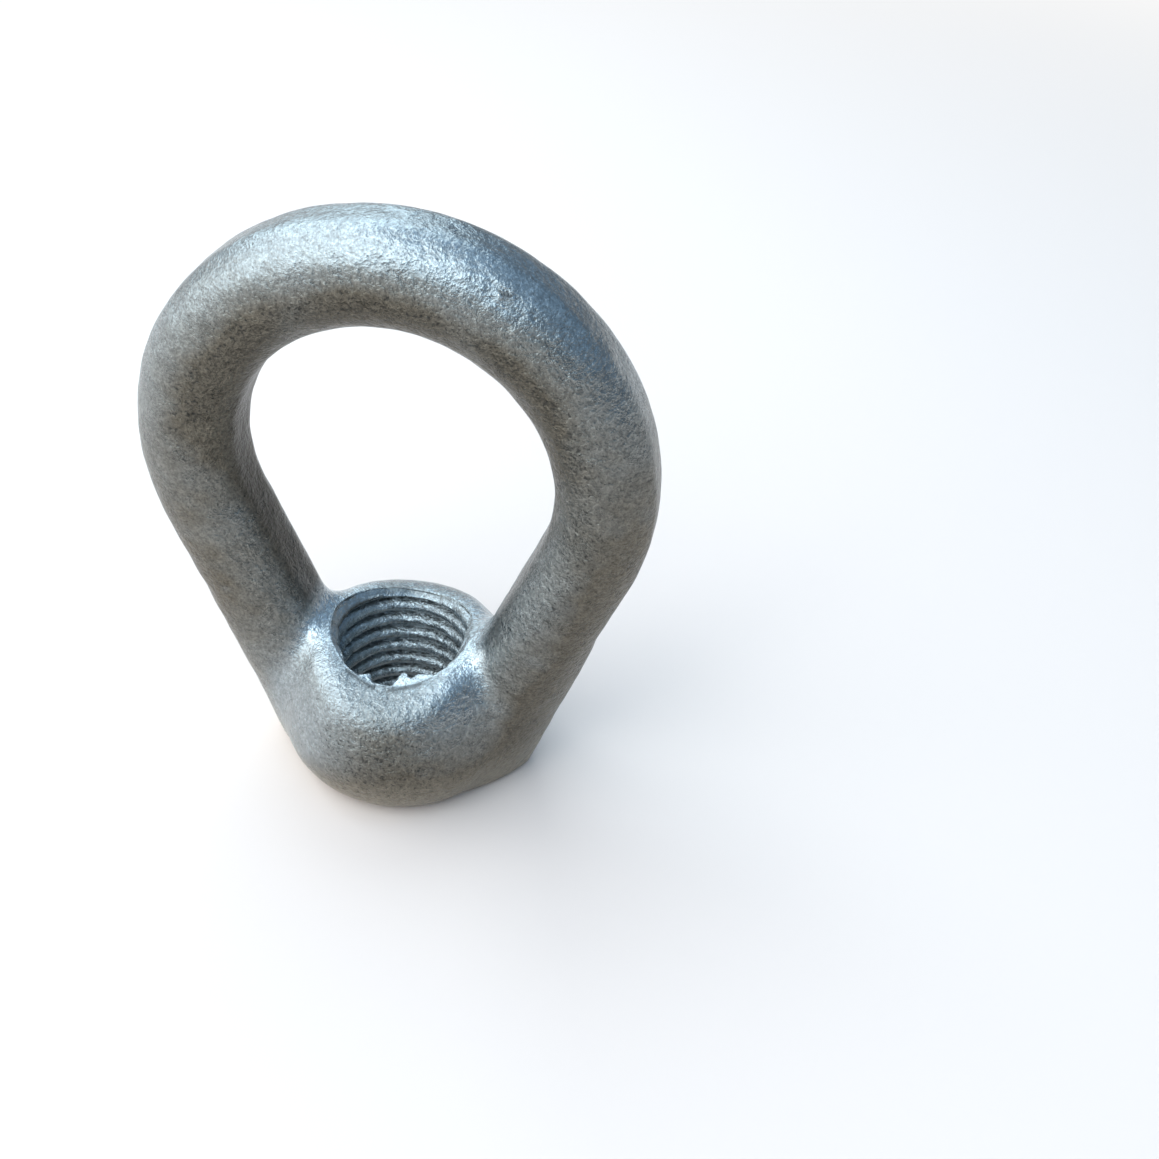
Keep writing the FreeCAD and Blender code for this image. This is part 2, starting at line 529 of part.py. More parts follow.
def bore_hub(body, size):
    """Plain bore with a countersink at each end, turned out of the hub."""
    bore = size.bore_diameter / 2
    mouth = size.mouth_diameter / 2
    sink = (mouth - bore) / math.tan(math.radians(size.mouth_angle))
    top = size.hub_height
    over = size.crotch_radius + TOOL_ROOM
    corners = [
        point(0, -1),
        point(mouth, -1),
        point(mouth, 0),
        point(bore, sink),
        point(bore, top - sink),
        point(mouth, top),
        point(mouth, top + over),
        point(0, top + over),
    ]
    sketch = new_sketch(body, "bore_profile", "XZ_Plane")
    for index, start in enumerate(corners):
        sketch.addGeometry(Part.LineSegment(start, corners[(index + 1) % len(corners)]), False)
    chain(sketch, 0, len(corners) - 1)
    for index in (0, 6):
        sketch.addConstraint(Sketcher.Constraint("Horizontal", index))
    for index in (1, 3, 5, 7):
        sketch.addConstraint(Sketcher.Constraint("Vertical", index))
    sketch.addConstraint(Sketcher.Constraint("PointOnObject", 0, 1, -2))
    sketch.addConstraint(Sketcher.Constraint("PointOnObject", 1, 2, -1))
    sketch.addConstraint(Sketcher.Constraint("DistanceY", 0, 1, -1, 1, 1))
    sink_text = "(sizes.mouth_diameter - sizes.bore_diameter) / 2 / tan(sizes.mouth_angle * 1 deg)"
    bind(sketch, Sketcher.Constraint("DistanceX", -1, 1, 1, 2, mouth), "mouth_low", "sizes.mouth_diameter / 2")
    bind(sketch, Sketcher.Constraint("DistanceX", -1, 1, 5, 1, mouth), "mouth_high", "sizes.mouth_diameter / 2")
    bind(sketch, Sketcher.Constraint("DistanceX", -1, 1, 3, 1, bore), "bore", "sizes.bore_diameter / 2")
    bind(sketch, Sketcher.Constraint("DistanceY", 1, 2, 3, 1, sink), "sink_low", sink_text)
    bind(sketch, Sketcher.Constraint("DistanceY", 3, 2, 5, 1, sink), "sink_high", sink_text)
    bind(sketch, Sketcher.Constraint("DistanceY", -1, 1, 5, 1, top), "hub_top", "sizes.hub_height")
    over_text = f"sizes.crotch_radius + {TOOL_ROOM}"
    bind(sketch, Sketcher.Constraint("DistanceY", 5, 1, 5, 2, over), "run_out", over_text)
    bore_cut = body.newObject("PartDesign::Groove", "bore")
    bore_cut.Profile = sketch
    bore_cut.ReferenceAxis = (sketch, ["V_Axis"])
    bore_cut.Angle = 360.0
    body.Document.recompute()
    return bore_cut


def check_features(doc):
    """Stop where a sketch or feature hasn't been built as it should."""
    for item in doc.Objects:
        if "Invalid" in item.State or "Error" in item.State:
            raise RuntimeError(f"{item.Name} is {item.State}")
        if not item.TypeId.startswith("PartDesign::") or item.TypeId == "PartDesign::Plane":
            continue
        if item.Shape.isNull() or not item.Shape.isValid():
            raise RuntimeError(f"{item.Name} has no valid shape")


def main():
    doc = FreeCAD.newDocument("lifting_eye_nut")
    sheet = make_sheet(doc)
    size = Sizes(sheet)
    body = doc.addObject("PartDesign::Body", "eye_nut")
    body.Label = "eye_nut"
    add_bow(body, size)
    leg = add_leg(body, size)
    mirror_leg(body, leg)
    hub = add_hub(body, size)
    blend_crotches(body, hub, size)
    trim_base(body, size)
    add_heels(body, size)
    trim_eye(body, size)
    trim_outside(body, size)
    bore_hub(body, size)
    check_features(doc)
    os.makedirs("parts", exist_ok=True)
    body.Shape.exportStep("parts/eye_nut.step")


main()
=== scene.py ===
"""Looks of a drop-forged, hot-dip galvanised lifting eye nut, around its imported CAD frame.

Lengths and places in the functions are in millimetres and go to metres when a mesh is made. The
user's sizes, the lamps and the camera are in metres.
"""
import math

import bpy
import numpy as np
from mathutils import Matrix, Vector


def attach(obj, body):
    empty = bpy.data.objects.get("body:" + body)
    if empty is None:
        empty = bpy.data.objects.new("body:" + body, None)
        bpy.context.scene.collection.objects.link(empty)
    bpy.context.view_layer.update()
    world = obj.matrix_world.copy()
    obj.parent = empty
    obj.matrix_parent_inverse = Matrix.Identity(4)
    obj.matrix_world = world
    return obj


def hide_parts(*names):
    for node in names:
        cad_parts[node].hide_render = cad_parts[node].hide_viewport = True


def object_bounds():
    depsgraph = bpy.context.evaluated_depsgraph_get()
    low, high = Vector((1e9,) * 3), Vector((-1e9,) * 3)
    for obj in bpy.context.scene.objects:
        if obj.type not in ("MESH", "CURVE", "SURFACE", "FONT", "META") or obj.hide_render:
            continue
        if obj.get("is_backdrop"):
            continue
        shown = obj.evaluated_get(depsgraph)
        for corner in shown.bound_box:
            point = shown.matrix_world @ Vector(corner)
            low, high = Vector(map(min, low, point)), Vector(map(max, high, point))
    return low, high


bl_info = {
    "name": "Lifting eye nut",
    "version": (1, 0, 0),
    "blender": (4, 5, 0),
    "location": "View3D > Sidebar > Eye nut",
    "description": "Builds the forging of a galvanised lifting eye nut, its finish and its studio",
    "category": "Object",
}

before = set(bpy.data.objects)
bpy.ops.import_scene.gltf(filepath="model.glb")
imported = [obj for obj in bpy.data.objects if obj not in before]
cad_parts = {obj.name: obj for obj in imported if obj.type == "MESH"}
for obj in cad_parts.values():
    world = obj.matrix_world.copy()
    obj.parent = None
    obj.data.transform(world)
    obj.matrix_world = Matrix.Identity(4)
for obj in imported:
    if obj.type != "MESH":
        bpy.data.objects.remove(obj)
LOW, HIGH = (np.array(corner) * 1000 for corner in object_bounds())


# Fixed values of the forging, in millimetres

# Widths of the smooth joins at the lands' edges and at a heel's flank, inner side and top
LAND_EDGE = 0.35
HEEL_EDGE = 3.0
HEEL_INNER_EDGE = 4.0
HEEL_TOP_EDGE = 6.0
# A heel begins this far outside the leg's inner side
HEEL_INSET = 6.0
# Distance from the bore's axis at which the saddle and the front dip are given, and where the dip ends
SADDLE_REACH = 10.0
DIP_LIMIT = 12.0

# Dents and pits: place x, y, z, width and depth
DENTS = (
    (13.5, -4.9, 73.7, 0.9, 0.22),
    (-21.8, -6.0, 53.4, 1.1, 0.14),
    (-21.6, -6.6, 28.9, 0.7, 0.16),
    (-19.5, -6.3, 44.0, 0.8, 0.12),
)
# Waves of the skin and of the bore's wall: height, seed of the random draw and wavelength
SKIN_WAVES = ((0.04, 5, 9.0), (0.025, 8, 3.0))
BORE_WAVE = (0.045, 11, 1.9)
# The skin lies this far inside its form, and is even up to this height over the base
SKIN_DEPTH = 0.09
EVEN_HEIGHT = 1.5

# Upper mouth of the bore: radius of the lip's round, how far below the brim it starts, how far inside
# the mouth's radius it starts, and the rise of the countersink below it
LIP_RADIUS = 0.34
LIP_START = 0.3
LIP_INSET = 0.25
SINK_SLOPE = 1.5
# The lip's rings stand this far into the countersink, and the bore's waves end this far below them
LIP_OVERLAP = 0.02
WAVE_GAP = 0.1
# Waves of the brim: height, count in one turn and phase
BRIM_WAVES = ((0.10, 3, 1.0), (0.06, 7, 0.0), (0.04, 16, 2.0))
# The tap starts this far below the base, its level rings are this far apart and end this far below the
# brim, and its last two rings lie this far over the brim
TAP_BELOW = 1.5
TAP_ROW = 0.15
TAP_SHORT = 1.7
TAP_BEYOND = (0.6, 4.0)
# Thread's profile, by the share of the way from the crest's middle to the groove's: where the crown ends,
# and where the flank begins and ends
CROWN_END = 0.72
FLANK_SPAN = (0.62, 0.92)

# Torn skin of zinc: first and last place round the mouth and its fading out there, in degrees; its humps
# as reach, place and width; its ragged waves as height and radians per degree
TORN_SPAN = (243, 322)
TORN_FADE = 5
TORN_HUMPS = ((1.3, 254, 6), (2.6, 286, 7), (1.5, 301, 8))
TORN_WAVES = ((0.08, 0.7), (0.05, 2.3))
# How far its root lies in the wall and its inner edge stands out beside the humps, the humps' least
# reach, and how far it hangs below the brim
TORN_ROOT = 0.55
TORN_LIP = 0.35
TORN_LEAST = 0.15
TORN_DROP = 0.45
# Its rise for each millimetre inwards, its sagging waves as height and radians per degree, its half
# thickness at the ends, and how much thicker it is between them
TORN_RISE = 0.02
TORN_SAG = (0.03, 0.6)
TORN_THIN = 0.06
TORN_SWELL = 0.10

# Sections along half of the loop, points round a section and points round the bore
FULL_GRID = (228, 176, 160)
# Shares of the sections on the bow and on the straight leg; the rest turn in to the hub
BOW_SHARE = 0.42
LEG_SHARE = 0.1
# Heights of the knee, where the turn begins, and of its end, in hub heights
KNEE_LEVEL = 1.25
MIDDLE_LEVEL = 0.42
# Pull of the turn's tangents at the knee and at its end, in distances between them
KNEE_PULL = 1.15
MIDDLE_PULL = 0.85


# Forms of the forging, as signed distances, negative inside


def soft_min(a, b, width):
    """Smooth union: the lesser of a and b, rounded by width where they are equal."""
    h = np.clip(0.5 + 0.5 * (b - a) / width, 0, 1)
    return b + (a - b) * h - width * h * (1 - h)


def soft_max(a, b, width):
    """Smooth intersection: the greater of a and b, rounded by width where they are equal."""
    return -soft_min(-a, -b, width)


def bar_form(p, s):
    """Round bar of the bow and the legs, cut flat at the flash lands.

    In the XZ plane the centreline is an arc of the loop's radius about (0, bow height) and two lines
    that lean by the leg angle. With w the distance outwards from the centreline, the bar is
    hypot(w, y) - r, r growing from the bow to the foot, met by |w| - (r - land depth).
    """
    lean = s.leg_angle
    x = np.abs(p[:, 0])
    z = p[:, 2] - s.bow_height
    along = -x * math.sin(lean) - z * math.cos(lean)
    w_leg = x * math.cos(lean) - z * math.sin(lean) - s.loop_radius
    w_bow = np.hypot(x, z) - s.loop_radius
    w = np.where(along > 0, w_leg, w_bow)
    length = s.bow_height / math.cos(lean)
    r = s.bar_diameter / 2 + (s.foot_diameter - s.bar_diameter) / 2 * np.clip(along / length, 0, 1)
    return soft_max(np.hypot(w, p[:, 1]) - r, np.abs(w) - (r - s.land_depth), LAND_EDGE)


def hub_form(p, s):
    """Hub: a solid of revolution whose side is two arcs that meet upright at the belly.

    Each arc's radius is (inset^2 + height^2) / 2 inset. The brim is a saddle: it sinks a little behind
    the bore, more in front of it, and rises towards the legs.
    """
    rho = np.hypot(p[:, 0], p[:, 1])
    z = p[:, 2] - s.belly_height
    belly = s.belly_diameter / 2
    low_inset = belly - s.base_diameter / 2
    high_inset = belly - s.brow_diameter / 2
    r_low = (low_inset**2 + s.belly_height**2) / 2 / low_inset
    r_high = (high_inset**2 + (s.hub_height - s.belly_height) ** 2) / 2 / high_inset
    below = np.hypot(rho - belly + r_low, z) - r_low
    above = np.hypot(rho - belly + r_high, z) - r_high
    side = np.where(z < 0, below, above)
    brim = s.hub_height + s.saddle * (p[:, 0] ** 2 - p[:, 1] ** 2) / SADDLE_REACH**2
    brim = brim - s.front_dip * np.clip(-p[:, 1], 0, DIP_LIMIT) ** 2 / SADDLE_REACH**2
    return soft_max(side, p[:, 2] - brim, s.brim_round)


def heel_form(p, s):
    """Heels: upright wedges whose flanks are arcs that touch the hub and end at the blunt tips.

    In plan a flank is a circle of the flank radius that touches the hub's base circle from outside at
    the angle that lets it pass the tip's corner. The flanks close in towards the leg as they rise.
    """
    x = np.abs(p[:, 0])
    y = np.abs(p[:, 1])
    z = p[:, 2]
    tip = s.tip_spread / 2
    half = s.tip_width / 2
    gap = s.flank_radius - s.base_diameter / 2
    reach = math.hypot(tip, half)
    fit = (s.flank_radius**2 - gap**2 - reach**2) / 2 / gap / reach
    turn = math.atan2(half, tip) + math.acos(fit)
    grow = s.side_slope * np.minimum(z, s.heel_height)
    rise = np.clip(z / s.heel_height, 0, 1)
    flank = np.hypot(x - grow + gap * math.cos(turn), y + gap * math.sin(turn)) - s.flank_radius
    width = y - (s.bar_diameter / 2 + s.heel_bulge * (1 - rise) ** 1.5)
    wedge = soft_max(soft_max(flank, width, HEEL_EDGE), end_form(p, s), s.tip_round)
    across = x * math.cos(s.leg_angle) - (z - s.bow_height) * math.sin(s.leg_angle)
    inner = s.eye_width / 2 + HEEL_INSET - across
    wedge = soft_max(wedge, inner, HEEL_INNER_EDGE)
    return soft_max(wedge, z - s.heel_height, HEEL_TOP_EDGE)


def end_form(p, s):
    """Space between the two planes that pass the base's tips and lean out to the bow's sides."""
    return (np.abs(p[:, 0]) - s.tip_spread / 2 - s.side_slope * p[:, 2]) / math.hypot(1, s.side_slope)


def nut_form(p, s):
    """Whole forging before it is bored: bar, hub and heels blended, cut flat at the base."""
    body = soft_min(bar_form(p, s), hub_form(p, s), s.crotch_radius)
    body = soft_min(body, heel_form(p, s), s.heel_blend)
    body = np.where(p[:, 2] < s.side_z, soft_max(body, end_form(p, s), LAND_EDGE), body)
    return soft_max(body, -p[:, 2], s.base_round)


# Relief of the skin


def bell(distance, width):
    """Bell curve: exp(-(distance / width)^2)."""
    return np.exp(-((distance / width) ** 2))


def swell(p, seed, size, waves=24):
    """Uneven swell of a forged skin: a sum of sines of random direction, wavelength about size."""
    rng = np.random.default_rng(seed)
    direction = rng.normal(size=(waves, 3))
    direction /= np.linalg.norm(direction, axis=1, keepdims=True)
    number = 2 * np.pi / (size * rng.uniform(0.7, 1.6, waves))
    phase = rng.uniform(0, 2 * np.pi, waves)
    return np.sin(p @ (direction * number[:, None]).T + phase).sum(axis=1) / math.sqrt(waves)


def dent_depth(p):
    """Depth of the dents and pits: a sum of bell curves round their places."""
    return sum(deep * bell(np.linalg.norm(p - spot, axis=1), wide) for *spot, wide, deep in DENTS)


def skin_relief(p):
    """Height of the forged and dipped skin over its form: slow waves less dents and pits."""
    height = sum(high * swell(p, seed, size) for high, seed, size in SKIN_WAVES)
    height = height - SKIN_DEPTH - dent_depth(p)
    return height * np.clip(p[:, 2] / EVEN_HEIGHT, 0, 1)


# Grids and meshes


def loop_path(s, count):
    """Closed centreline of the forging and the planes of its sections.

    One half runs from the crown along the bow, down the leg and in to the middle of the hub. Each
    section's plane holds +Y and the outward direction n of the centreline there; in the hub the
    planes fan out from the leg's lean to upright.
    """
    lean = s.leg_angle
    across = np.array([math.cos(lean), -math.sin(lean)])
    down = np.array([-math.sin(lean), -math.cos(lean)])
    on_bow = int(count * BOW_SHARE)
    on_leg = int(count * LEG_SHARE)
    bow = np.linspace(0, math.pi / 2 + lean, on_bow, endpoint=False)
    bow_normals = np.stack([np.sin(bow), np.cos(bow)], axis=1)
    bow_points = np.array([0.0, s.bow_height]) + s.loop_radius * bow_normals
    leg_top = np.array([0.0, s.bow_height]) + s.loop_radius * across
    length = (leg_top[1] - s.hub_height * KNEE_LEVEL) / math.cos(lean)
    run = np.linspace(0, length, on_leg, endpoint=False)[:, None]
    # cubic from the knee, leaving along the leg, to the middle of the hub, arriving level
    knee = leg_top + length * down
    middle = np.array([0.0, s.hub_height * MIDDLE_LEVEL])
    reach = np.linalg.norm(knee - middle)
    start = down * reach * KNEE_PULL
    end = np.array([-1.0, 0.0]) * reach * MIDDLE_PULL
    part = np.linspace(0, 1, count - on_bow - on_leg)[:, None]
    turn_points = (2 * part**3 - 3 * part**2 + 1) * knee + (part**3 - 2 * part**2 + part) * start
    turn_points += (3 * part**2 - 2 * part**3) * middle + (part**3 - part**2) * end
    angle = -lean - part * (math.pi / 2 - lean)
    turn_normals = np.concatenate([np.cos(angle), np.sin(angle)], axis=1)
    points = np.concatenate([bow_points, leg_top + run * down, turn_points])
    normals = np.concatenate([bow_normals, np.repeat(across[None], on_leg, axis=0), turn_normals])
    mirror = np.array([-1.0, 1.0])
    return (
        np.concatenate([points, points[-2:0:-1] * mirror]),
        np.concatenate([normals, normals[-2:0:-1] * mirror]),
    )


def in_space(flat):
    """Points or directions of the XZ plane as x, y, z with y at 0."""
    return np.stack([flat[:, 0], np.zeros(len(flat)), flat[:, 1]], axis=1)


def halve(form, place, low, high, times):
    """Values between low, inside, and high, outside, at which form(place(value)) is 0, by halving."""
    for _ in range(times):
        middle = (low + high) / 2
        inside = form(place(middle)) < 0
        low = np.where(inside, middle, low)
        high = np.where(inside, high, middle)
    return (low + high) / 2


def skin_of(form, points, normals, around, step=0.35, steps=90):
    """Grid on a form: from each centre a ray in the section's plane goes out to where form is 0.

    The ray at angle v runs along n cos v + y sin v. It is marched to the first point outside, and the
    last step is then halved. Returns the centres and the points on the form.
    """
    v = np.linspace(0, 2 * np.pi, around, endpoint=False)
    rays = in_space(normals)[:, None] * np.cos(v)[:, None] + np.array([0.0, 1.0, 0.0]) * np.sin(v)[:, None]
    centres = np.broadcast_to(in_space(points)[:, None], rays.shape).reshape(-1, 3)
    rays = rays.reshape(-1, 3)

    def place(distance):
        return centres + rays * distance[:, None]

    far = np.zeros(len(rays))
    for _ in range(steps):
        far = np.where(form(place(far)) < 0, far + step, far)
    return centres, place(halve(form, place, far - step, far, times=14))


def ring_faces(rings, around):
    """Quads of a grid that closes both ways."""
    i = np.arange(rings)[:, None]
    j = np.arange(around)[None]
    i2 = (i + 1) % rings
    j2 = (j + 1) % around
    quads = np.stack([i * around + j, i2 * around + j, i2 * around + j2, i * around + j2], axis=-1)
    return quads.reshape(-1, 4).tolist()


def tube_faces(rows, around):
    """Quads of rings set one above another, closed at both ends by a fan to one of the two last points."""
    i = np.arange(rows - 1)[:, None]
    j = np.arange(around)[None]
    j2 = (j + 1) % around
    low = i * around
    high = low + around
    sides = np.stack([low + j, low + j2, high + j2, high + j], axis=-1)
    ring = np.arange(around)
    after = (ring + 1) % around
    last = (rows - 1) * around
    bottom = np.stack([after, ring, np.full(around, rows * around)], axis=1)
    top = np.stack([last + ring, last + after, np.full(around, rows * around + 1)], axis=1)
    return sides.reshape(-1, 4).tolist() + bottom.tolist() + top.tolist()


def new_piece(name, verts, faces):
    """Mesh object at the origin from millimetre points."""
    mesh = bpy.data.meshes.new(name)
    mesh.from_pydata((verts / 1000).tolist(), [], faces)
    mesh.update()
    piece = bpy.data.objects.new(name, mesh)
    bpy.context.scene.collection.objects.link(piece)
    return piece


def vertex_places(mesh):
    """Places of a mesh's vertices, in metres, as rows of x, y, z."""
    places = np.empty(len(mesh.vertices) * 3)
    mesh.vertices.foreach_get("co", places)
    return places.reshape(-1, 3)


def face_out(piece):
    """Turn the faces so that the mesh's volume is positive."""
    mesh = piece.data
    mesh.calc_loop_triangles()
    corners = np.empty(len(mesh.loop_triangles) * 3, dtype=np.int32)
    mesh.loop_triangles.foreach_get("vertices", corners)
    a, b, c = vertex_places(mesh)[corners.reshape(-1, 3)].transpose(1, 0, 2)
    if np.einsum("ij,ij->i", a, np.cross(b, c)).sum() < 0:
        mesh.flip_normals()


# Bore, thread and torn skin


def polar_points(r, a, z):
    """Points at the radius r, the angle a and the height z about the bore's axis."""
    return np.stack([r * np.cos(a), r * np.sin(a), z], axis=-1).reshape(-1, 3)


def brim_height(s, form, a, search=6):
    """Height of the hub's surface over the mouth's circle at each angle a, searched about the hub's."""
    x = s.mouth_radius * np.cos(a)
    y = s.mouth_radius * np.sin(a)

    def place(z):
        return np.stack([x, y, z], axis=1)

    level = np.full(a.shape, s.hub_height)
    return halve(form, place, level - search, level + search, times=24)


def thread_tooth(phase):
    """Depth of the thread's profile over one pitch, from 0 at the crest's middle to 1 in the groove.

    With t from 0 at the crest's middle to 1 at the groove's: half the depth is a crown, (t / end)^2,
    the other half a flank, which is a smooth step over its span.
    """
    t = np.abs(2 * phase - 1)
    crown = np.clip(t / CROWN_END, 0, 1) ** 2
    first, last = FLANK_SPAN
    flank = np.clip((t - first) / (last - first), 0, 1)
    return 0.5 * crown + 0.5 * flank**2 * (3 - 2 * flank)


def tap_heights(s, brim):
    """Heights of the tap's rings: level up the shaft, then one by one taking on the brim's waves."""
    level = np.linspace(-TAP_BELOW, brim.min() - TAP_SHORT, int(s.hub_height / TAP_ROW))
    shaft = level[:, None] + 0 * brim
    cone = shaft[-1] + np.linspace(0, 1, 14)[1:, None] * (brim - LIP_START - shaft[-1])
    lip = brim - LIP_START + np.linspace(0, LIP_RADIUS, 9)[1:, None]
    return np.concatenate([shaft, cone, lip, brim + np.array(TAP_BEYOND)[:, None]])


def thread_tap(s, form, around):
    """Points and faces of the tool that bores the hub: thread, countersinks and lip of the upper mouth.

    With H(a) the height of the hub's brim over the mouth's circle at the angle a, the radius is the
    greatest of the thread's, crest + depth * tooth(z / pitch - a / 2 pi), right-handed; the lower
    countersink's, mouth - z; and the upper one's, mouth - inset + slope * (z - H + start), which goes
    over into the lip's quarter round.
    """
    a = np.linspace(0, 2 * np.pi, around, endpoint=False)
    brim = brim_height(s, form, a)
    for high, count, phase in BRIM_WAVES:
        brim = brim + high * np.sin(count * a + phase)
    z = tap_heights(s, brim)
    wall = s.bore_diameter / 2 + s.thread_depth * thread_tooth((z / s.thread_pitch - a / (2 * np.pi)) % 1.0)
    over = z - brim + LIP_START
    flare = LIP_RADIUS - np.sqrt(np.clip(LIP_RADIUS**2 - np.clip(over, 0, LIP_RADIUS) ** 2, 0, None))
    sink = s.mouth_radius - LIP_INSET + SINK_SLOPE * np.minimum(over, 0) + flare
    r = np.maximum(np.maximum(wall, sink), s.mouth_radius - np.maximum(z, 0))
    r = np.where(over > -LIP_OVERLAP, s.mouth_radius - LIP_INSET + flare, r)
    high, seed, size = BORE_WAVE
    r = r + high * swell(polar_points(r, a, z), seed, size).reshape(r.shape) * (over < -WAVE_GAP)
    ends = [[0, 0, z[0].min()], [0, 0, z[-1].max()]]
    return np.concatenate([polar_points(r, a, z), ends]), tube_faces(len(z), around)


def torn_skin(s, form, around=10, length=120):
    """Points and faces of the torn zinc that hangs on inside the front of the mouth: a flat bead.

    At the angle a it runs from mouth + root in to mouth - lip - reach(a), with reach a row of bell
    humps and small waves; its section is an ellipse that rises a little inwards, and it thins out at
    both ends.
    """
    first, last = TORN_SPAN
    a = np.linspace(math.radians(first), math.radians(last), length)
    deg = np.degrees(a)
    reach = sum(far * bell(deg - place, wide) for far, place, wide in TORN_HUMPS)
    reach = reach + sum(high * np.sin(deg * rate) for high, rate in TORN_WAVES)
    fade = np.clip(np.minimum(deg - first, last - deg) / TORN_FADE, 0, 1)
    reach = np.maximum(reach, TORN_LEAST) * fade
    half = (reach + TORN_ROOT + TORN_LIP)[:, None] / 2
    v = np.linspace(0, 2 * np.pi, around, endpoint=False)
    r = s.mouth_radius + TORN_ROOT - half + half * np.cos(v)
    high, rate = TORN_SAG
    drop = TORN_DROP - TORN_RISE * (s.mouth_radius - r) + high * np.sin(deg * rate)[:, None]
    thick = TORN_THIN + TORN_SWELL * fade[:, None]
    z = brim_height(s, form, a)[:, None] - drop + thick * np.sin(v)
    points = polar_points(r, a[:, None], z)
    ends = [points[:around].mean(axis=0), points[-around:].mean(axis=0)]
    return np.concatenate([points, ends]), tube_faces(length, around)


# Masks of the finish, from the places p and the normals of the vertices

# Side of the hub with painted light, where the film is taken off: place and width, in millimetres
LIT_SPOT = (-13, -11, 10)
LIT_WIDTH = 8.5
# Shares of the film near the base, where it is the ground's painted reflection, on the lands, on the hub's
# brow and front, and on its side with painted light
FILM_GROUND, FILM_LAND, FILM_BROW, FILM_HUB, FILM_LIT_SIDE = 0.25, 0.5, 0.2, 0.25, -0.9
# Shares of the specks on the shoulder and, for a depth of one millimetre, in the dents
SOIL_SHOULDER = 0.8
SOIL_DENTS = 9
# Share of the painted highlight on the thread's crests
CREST_HIGHLIGHT = 0.8


def front_of(normal):
    """How much the skin faces the front."""
    return np.clip(-normal[:, 1], 0, 1)


def hub_front(p, normal):
    """The hub's bulging front."""
    height, wide, high = 12, 9, 8
    return bell(p[:, 0], wide) * bell(p[:, 2] - height, high) * front_of(normal)


def hub_brow(p):
    """Front of the hub just under the brim."""
    place, height, wide, high = 1, 16.5, 8, 4
    return bell(p[:, 0] - place, wide) * bell(p[:, 2] - height, high) * (p[:, 1] < 0)


def flash_lands(p, normal, s):
    """Darker strip on the trimmed lands: wider inside the eye, from over the hub to below the bow's top."""
    # partly the lands' own dull face, partly painted shade on the inner side of the eye
    inner = normal[:, 0] * np.sign(p[:, 0]) < 0
    wide = np.where(inner, 3.3, 2.5)
    top = np.where(inner, 68.0, 52.0)
    over_hub = np.clip((p[:, 2] - s.hub_height) / 4, 0, 1)
    return np.exp(-((p[:, 1] / wide) ** 4)) * over_hub * np.clip((top - p[:, 2]) / 12, 0, 1)


def facing_shade(normal):
    """Share of brown film as painted shade, by how the skin faces: none upwards, most downwards, more on the
    right.
    """
    upward = np.clip((normal[:, 2] - 0.35) * 5, 0, 1)
    return np.clip(0.80 - 1.3 * normal[:, 2] - 0.3 * upward + 0.2 * normal[:, 0], 0, 1)


def shoulder_soil(p, normal, s):
    """Dark specks in front, in a band along the inner side of the bow and a little way down on the right."""
    radius, wide, lowest = 24.5, 2.2, 28
    band = bell(np.hypot(p[:, 0], p[:, 2] - s.bow_height) - radius, wide) * front_of(normal)
    return band * ((p[:, 2] > s.bow_height) | (p[:, 0] > 0) & (p[:, 2] > lowest))


def highlight_ring(p, s):
    """Painted highlight in a ring round the mouth, strong in the blends at the legs and faint between them.
    """
    outside, wide, high = 1.4, 2.0, 2.6
    top = p[:, 2] - s.hub_height
    rho = np.hypot(p[:, 0], p[:, 1])
    ring = bell(rho - s.mouth_radius - outside, wide) * bell(np.minimum(top, 0), high)
    blend = np.clip((np.abs(p[:, 0]) - 5.0) / 4, 0, 1) * np.clip((4.5 - top) / 3, 0, 1)
    return ring * (0.1 + 0.9 * blend)


def finish_masks(p, normal, s):
    """All masks of the finish by name.

    film: dull brown film on the hub's brow and front, with painted shade on the skin that faces down and
    right and on the lands, and the ground's painted reflection near the base; it is taken off the hub's left
    side as
    painted light. painted_highlight: painted highlights in the blends beside the mouth, on the thread's
    crests
    and on the torn skin. soil: dark specks. groove: painted shade from the thread's crests, 0, to the bottom
    of
    its grooves. ground_reflection: painted reflection of a brown ground near the base. land: the darker
    flash lands, partly painted shade inside the eye.
    """
    x, y, z = p.T
    top = z - s.hub_height
    rho = np.hypot(x, y)
    # painted reflection of a brown ground, strongest at the base
    low = np.clip(1.2 - z / 8, 0, 1)
    land = flash_lands(p, normal, s)
    hub = hub_front(p, normal)
    # painted light on the hub's left side, where the lamps fall: the film is taken off there
    lit_side = bell(np.linalg.norm(p - np.array(LIT_SPOT), axis=1), LIT_WIDTH)
    # the film mask is mostly painted shade: by facing, near the base and on the lands
    film = facing_shade(normal) + FILM_GROUND * low + FILM_LAND * land
    film = film + FILM_BROW * hub_brow(p) + FILM_HUB * hub + FILM_LIT_SIDE * lit_side
    # the bore's wall between its two mouths, and the upper side of the torn skin
    wall = (rho < s.mouth_radius + 0.4) & (z > 0.6) & (top < -1.2)
    torn = (rho < s.mouth_radius - 0.1) & (np.abs(top + 0.6) < 1.6) & (y < -5) & (normal[:, 2] > 0.3)
    depth = (rho - s.bore_diameter / 2) / s.thread_depth
    crest = wall * np.clip(1 - 2.2 * depth, 0, 1)
    return {
        "film": np.where(wall | torn, 0.0, film),
        # painted highlights in the blends by the mouth, on the thread's crests and on the torn skin's upper
        # side
        "painted_highlight": np.maximum(np.maximum(highlight_ring(p, s), CREST_HIGHLIGHT * crest), torn),
        "soil": hub + SOIL_SHOULDER * shoulder_soil(p, normal, s) + SOIL_DENTS * dent_depth(p),
        "groove": wall * np.clip(depth - 0.45, 0, 1),
        "ground_reflection": low,
        "land": land,
    }


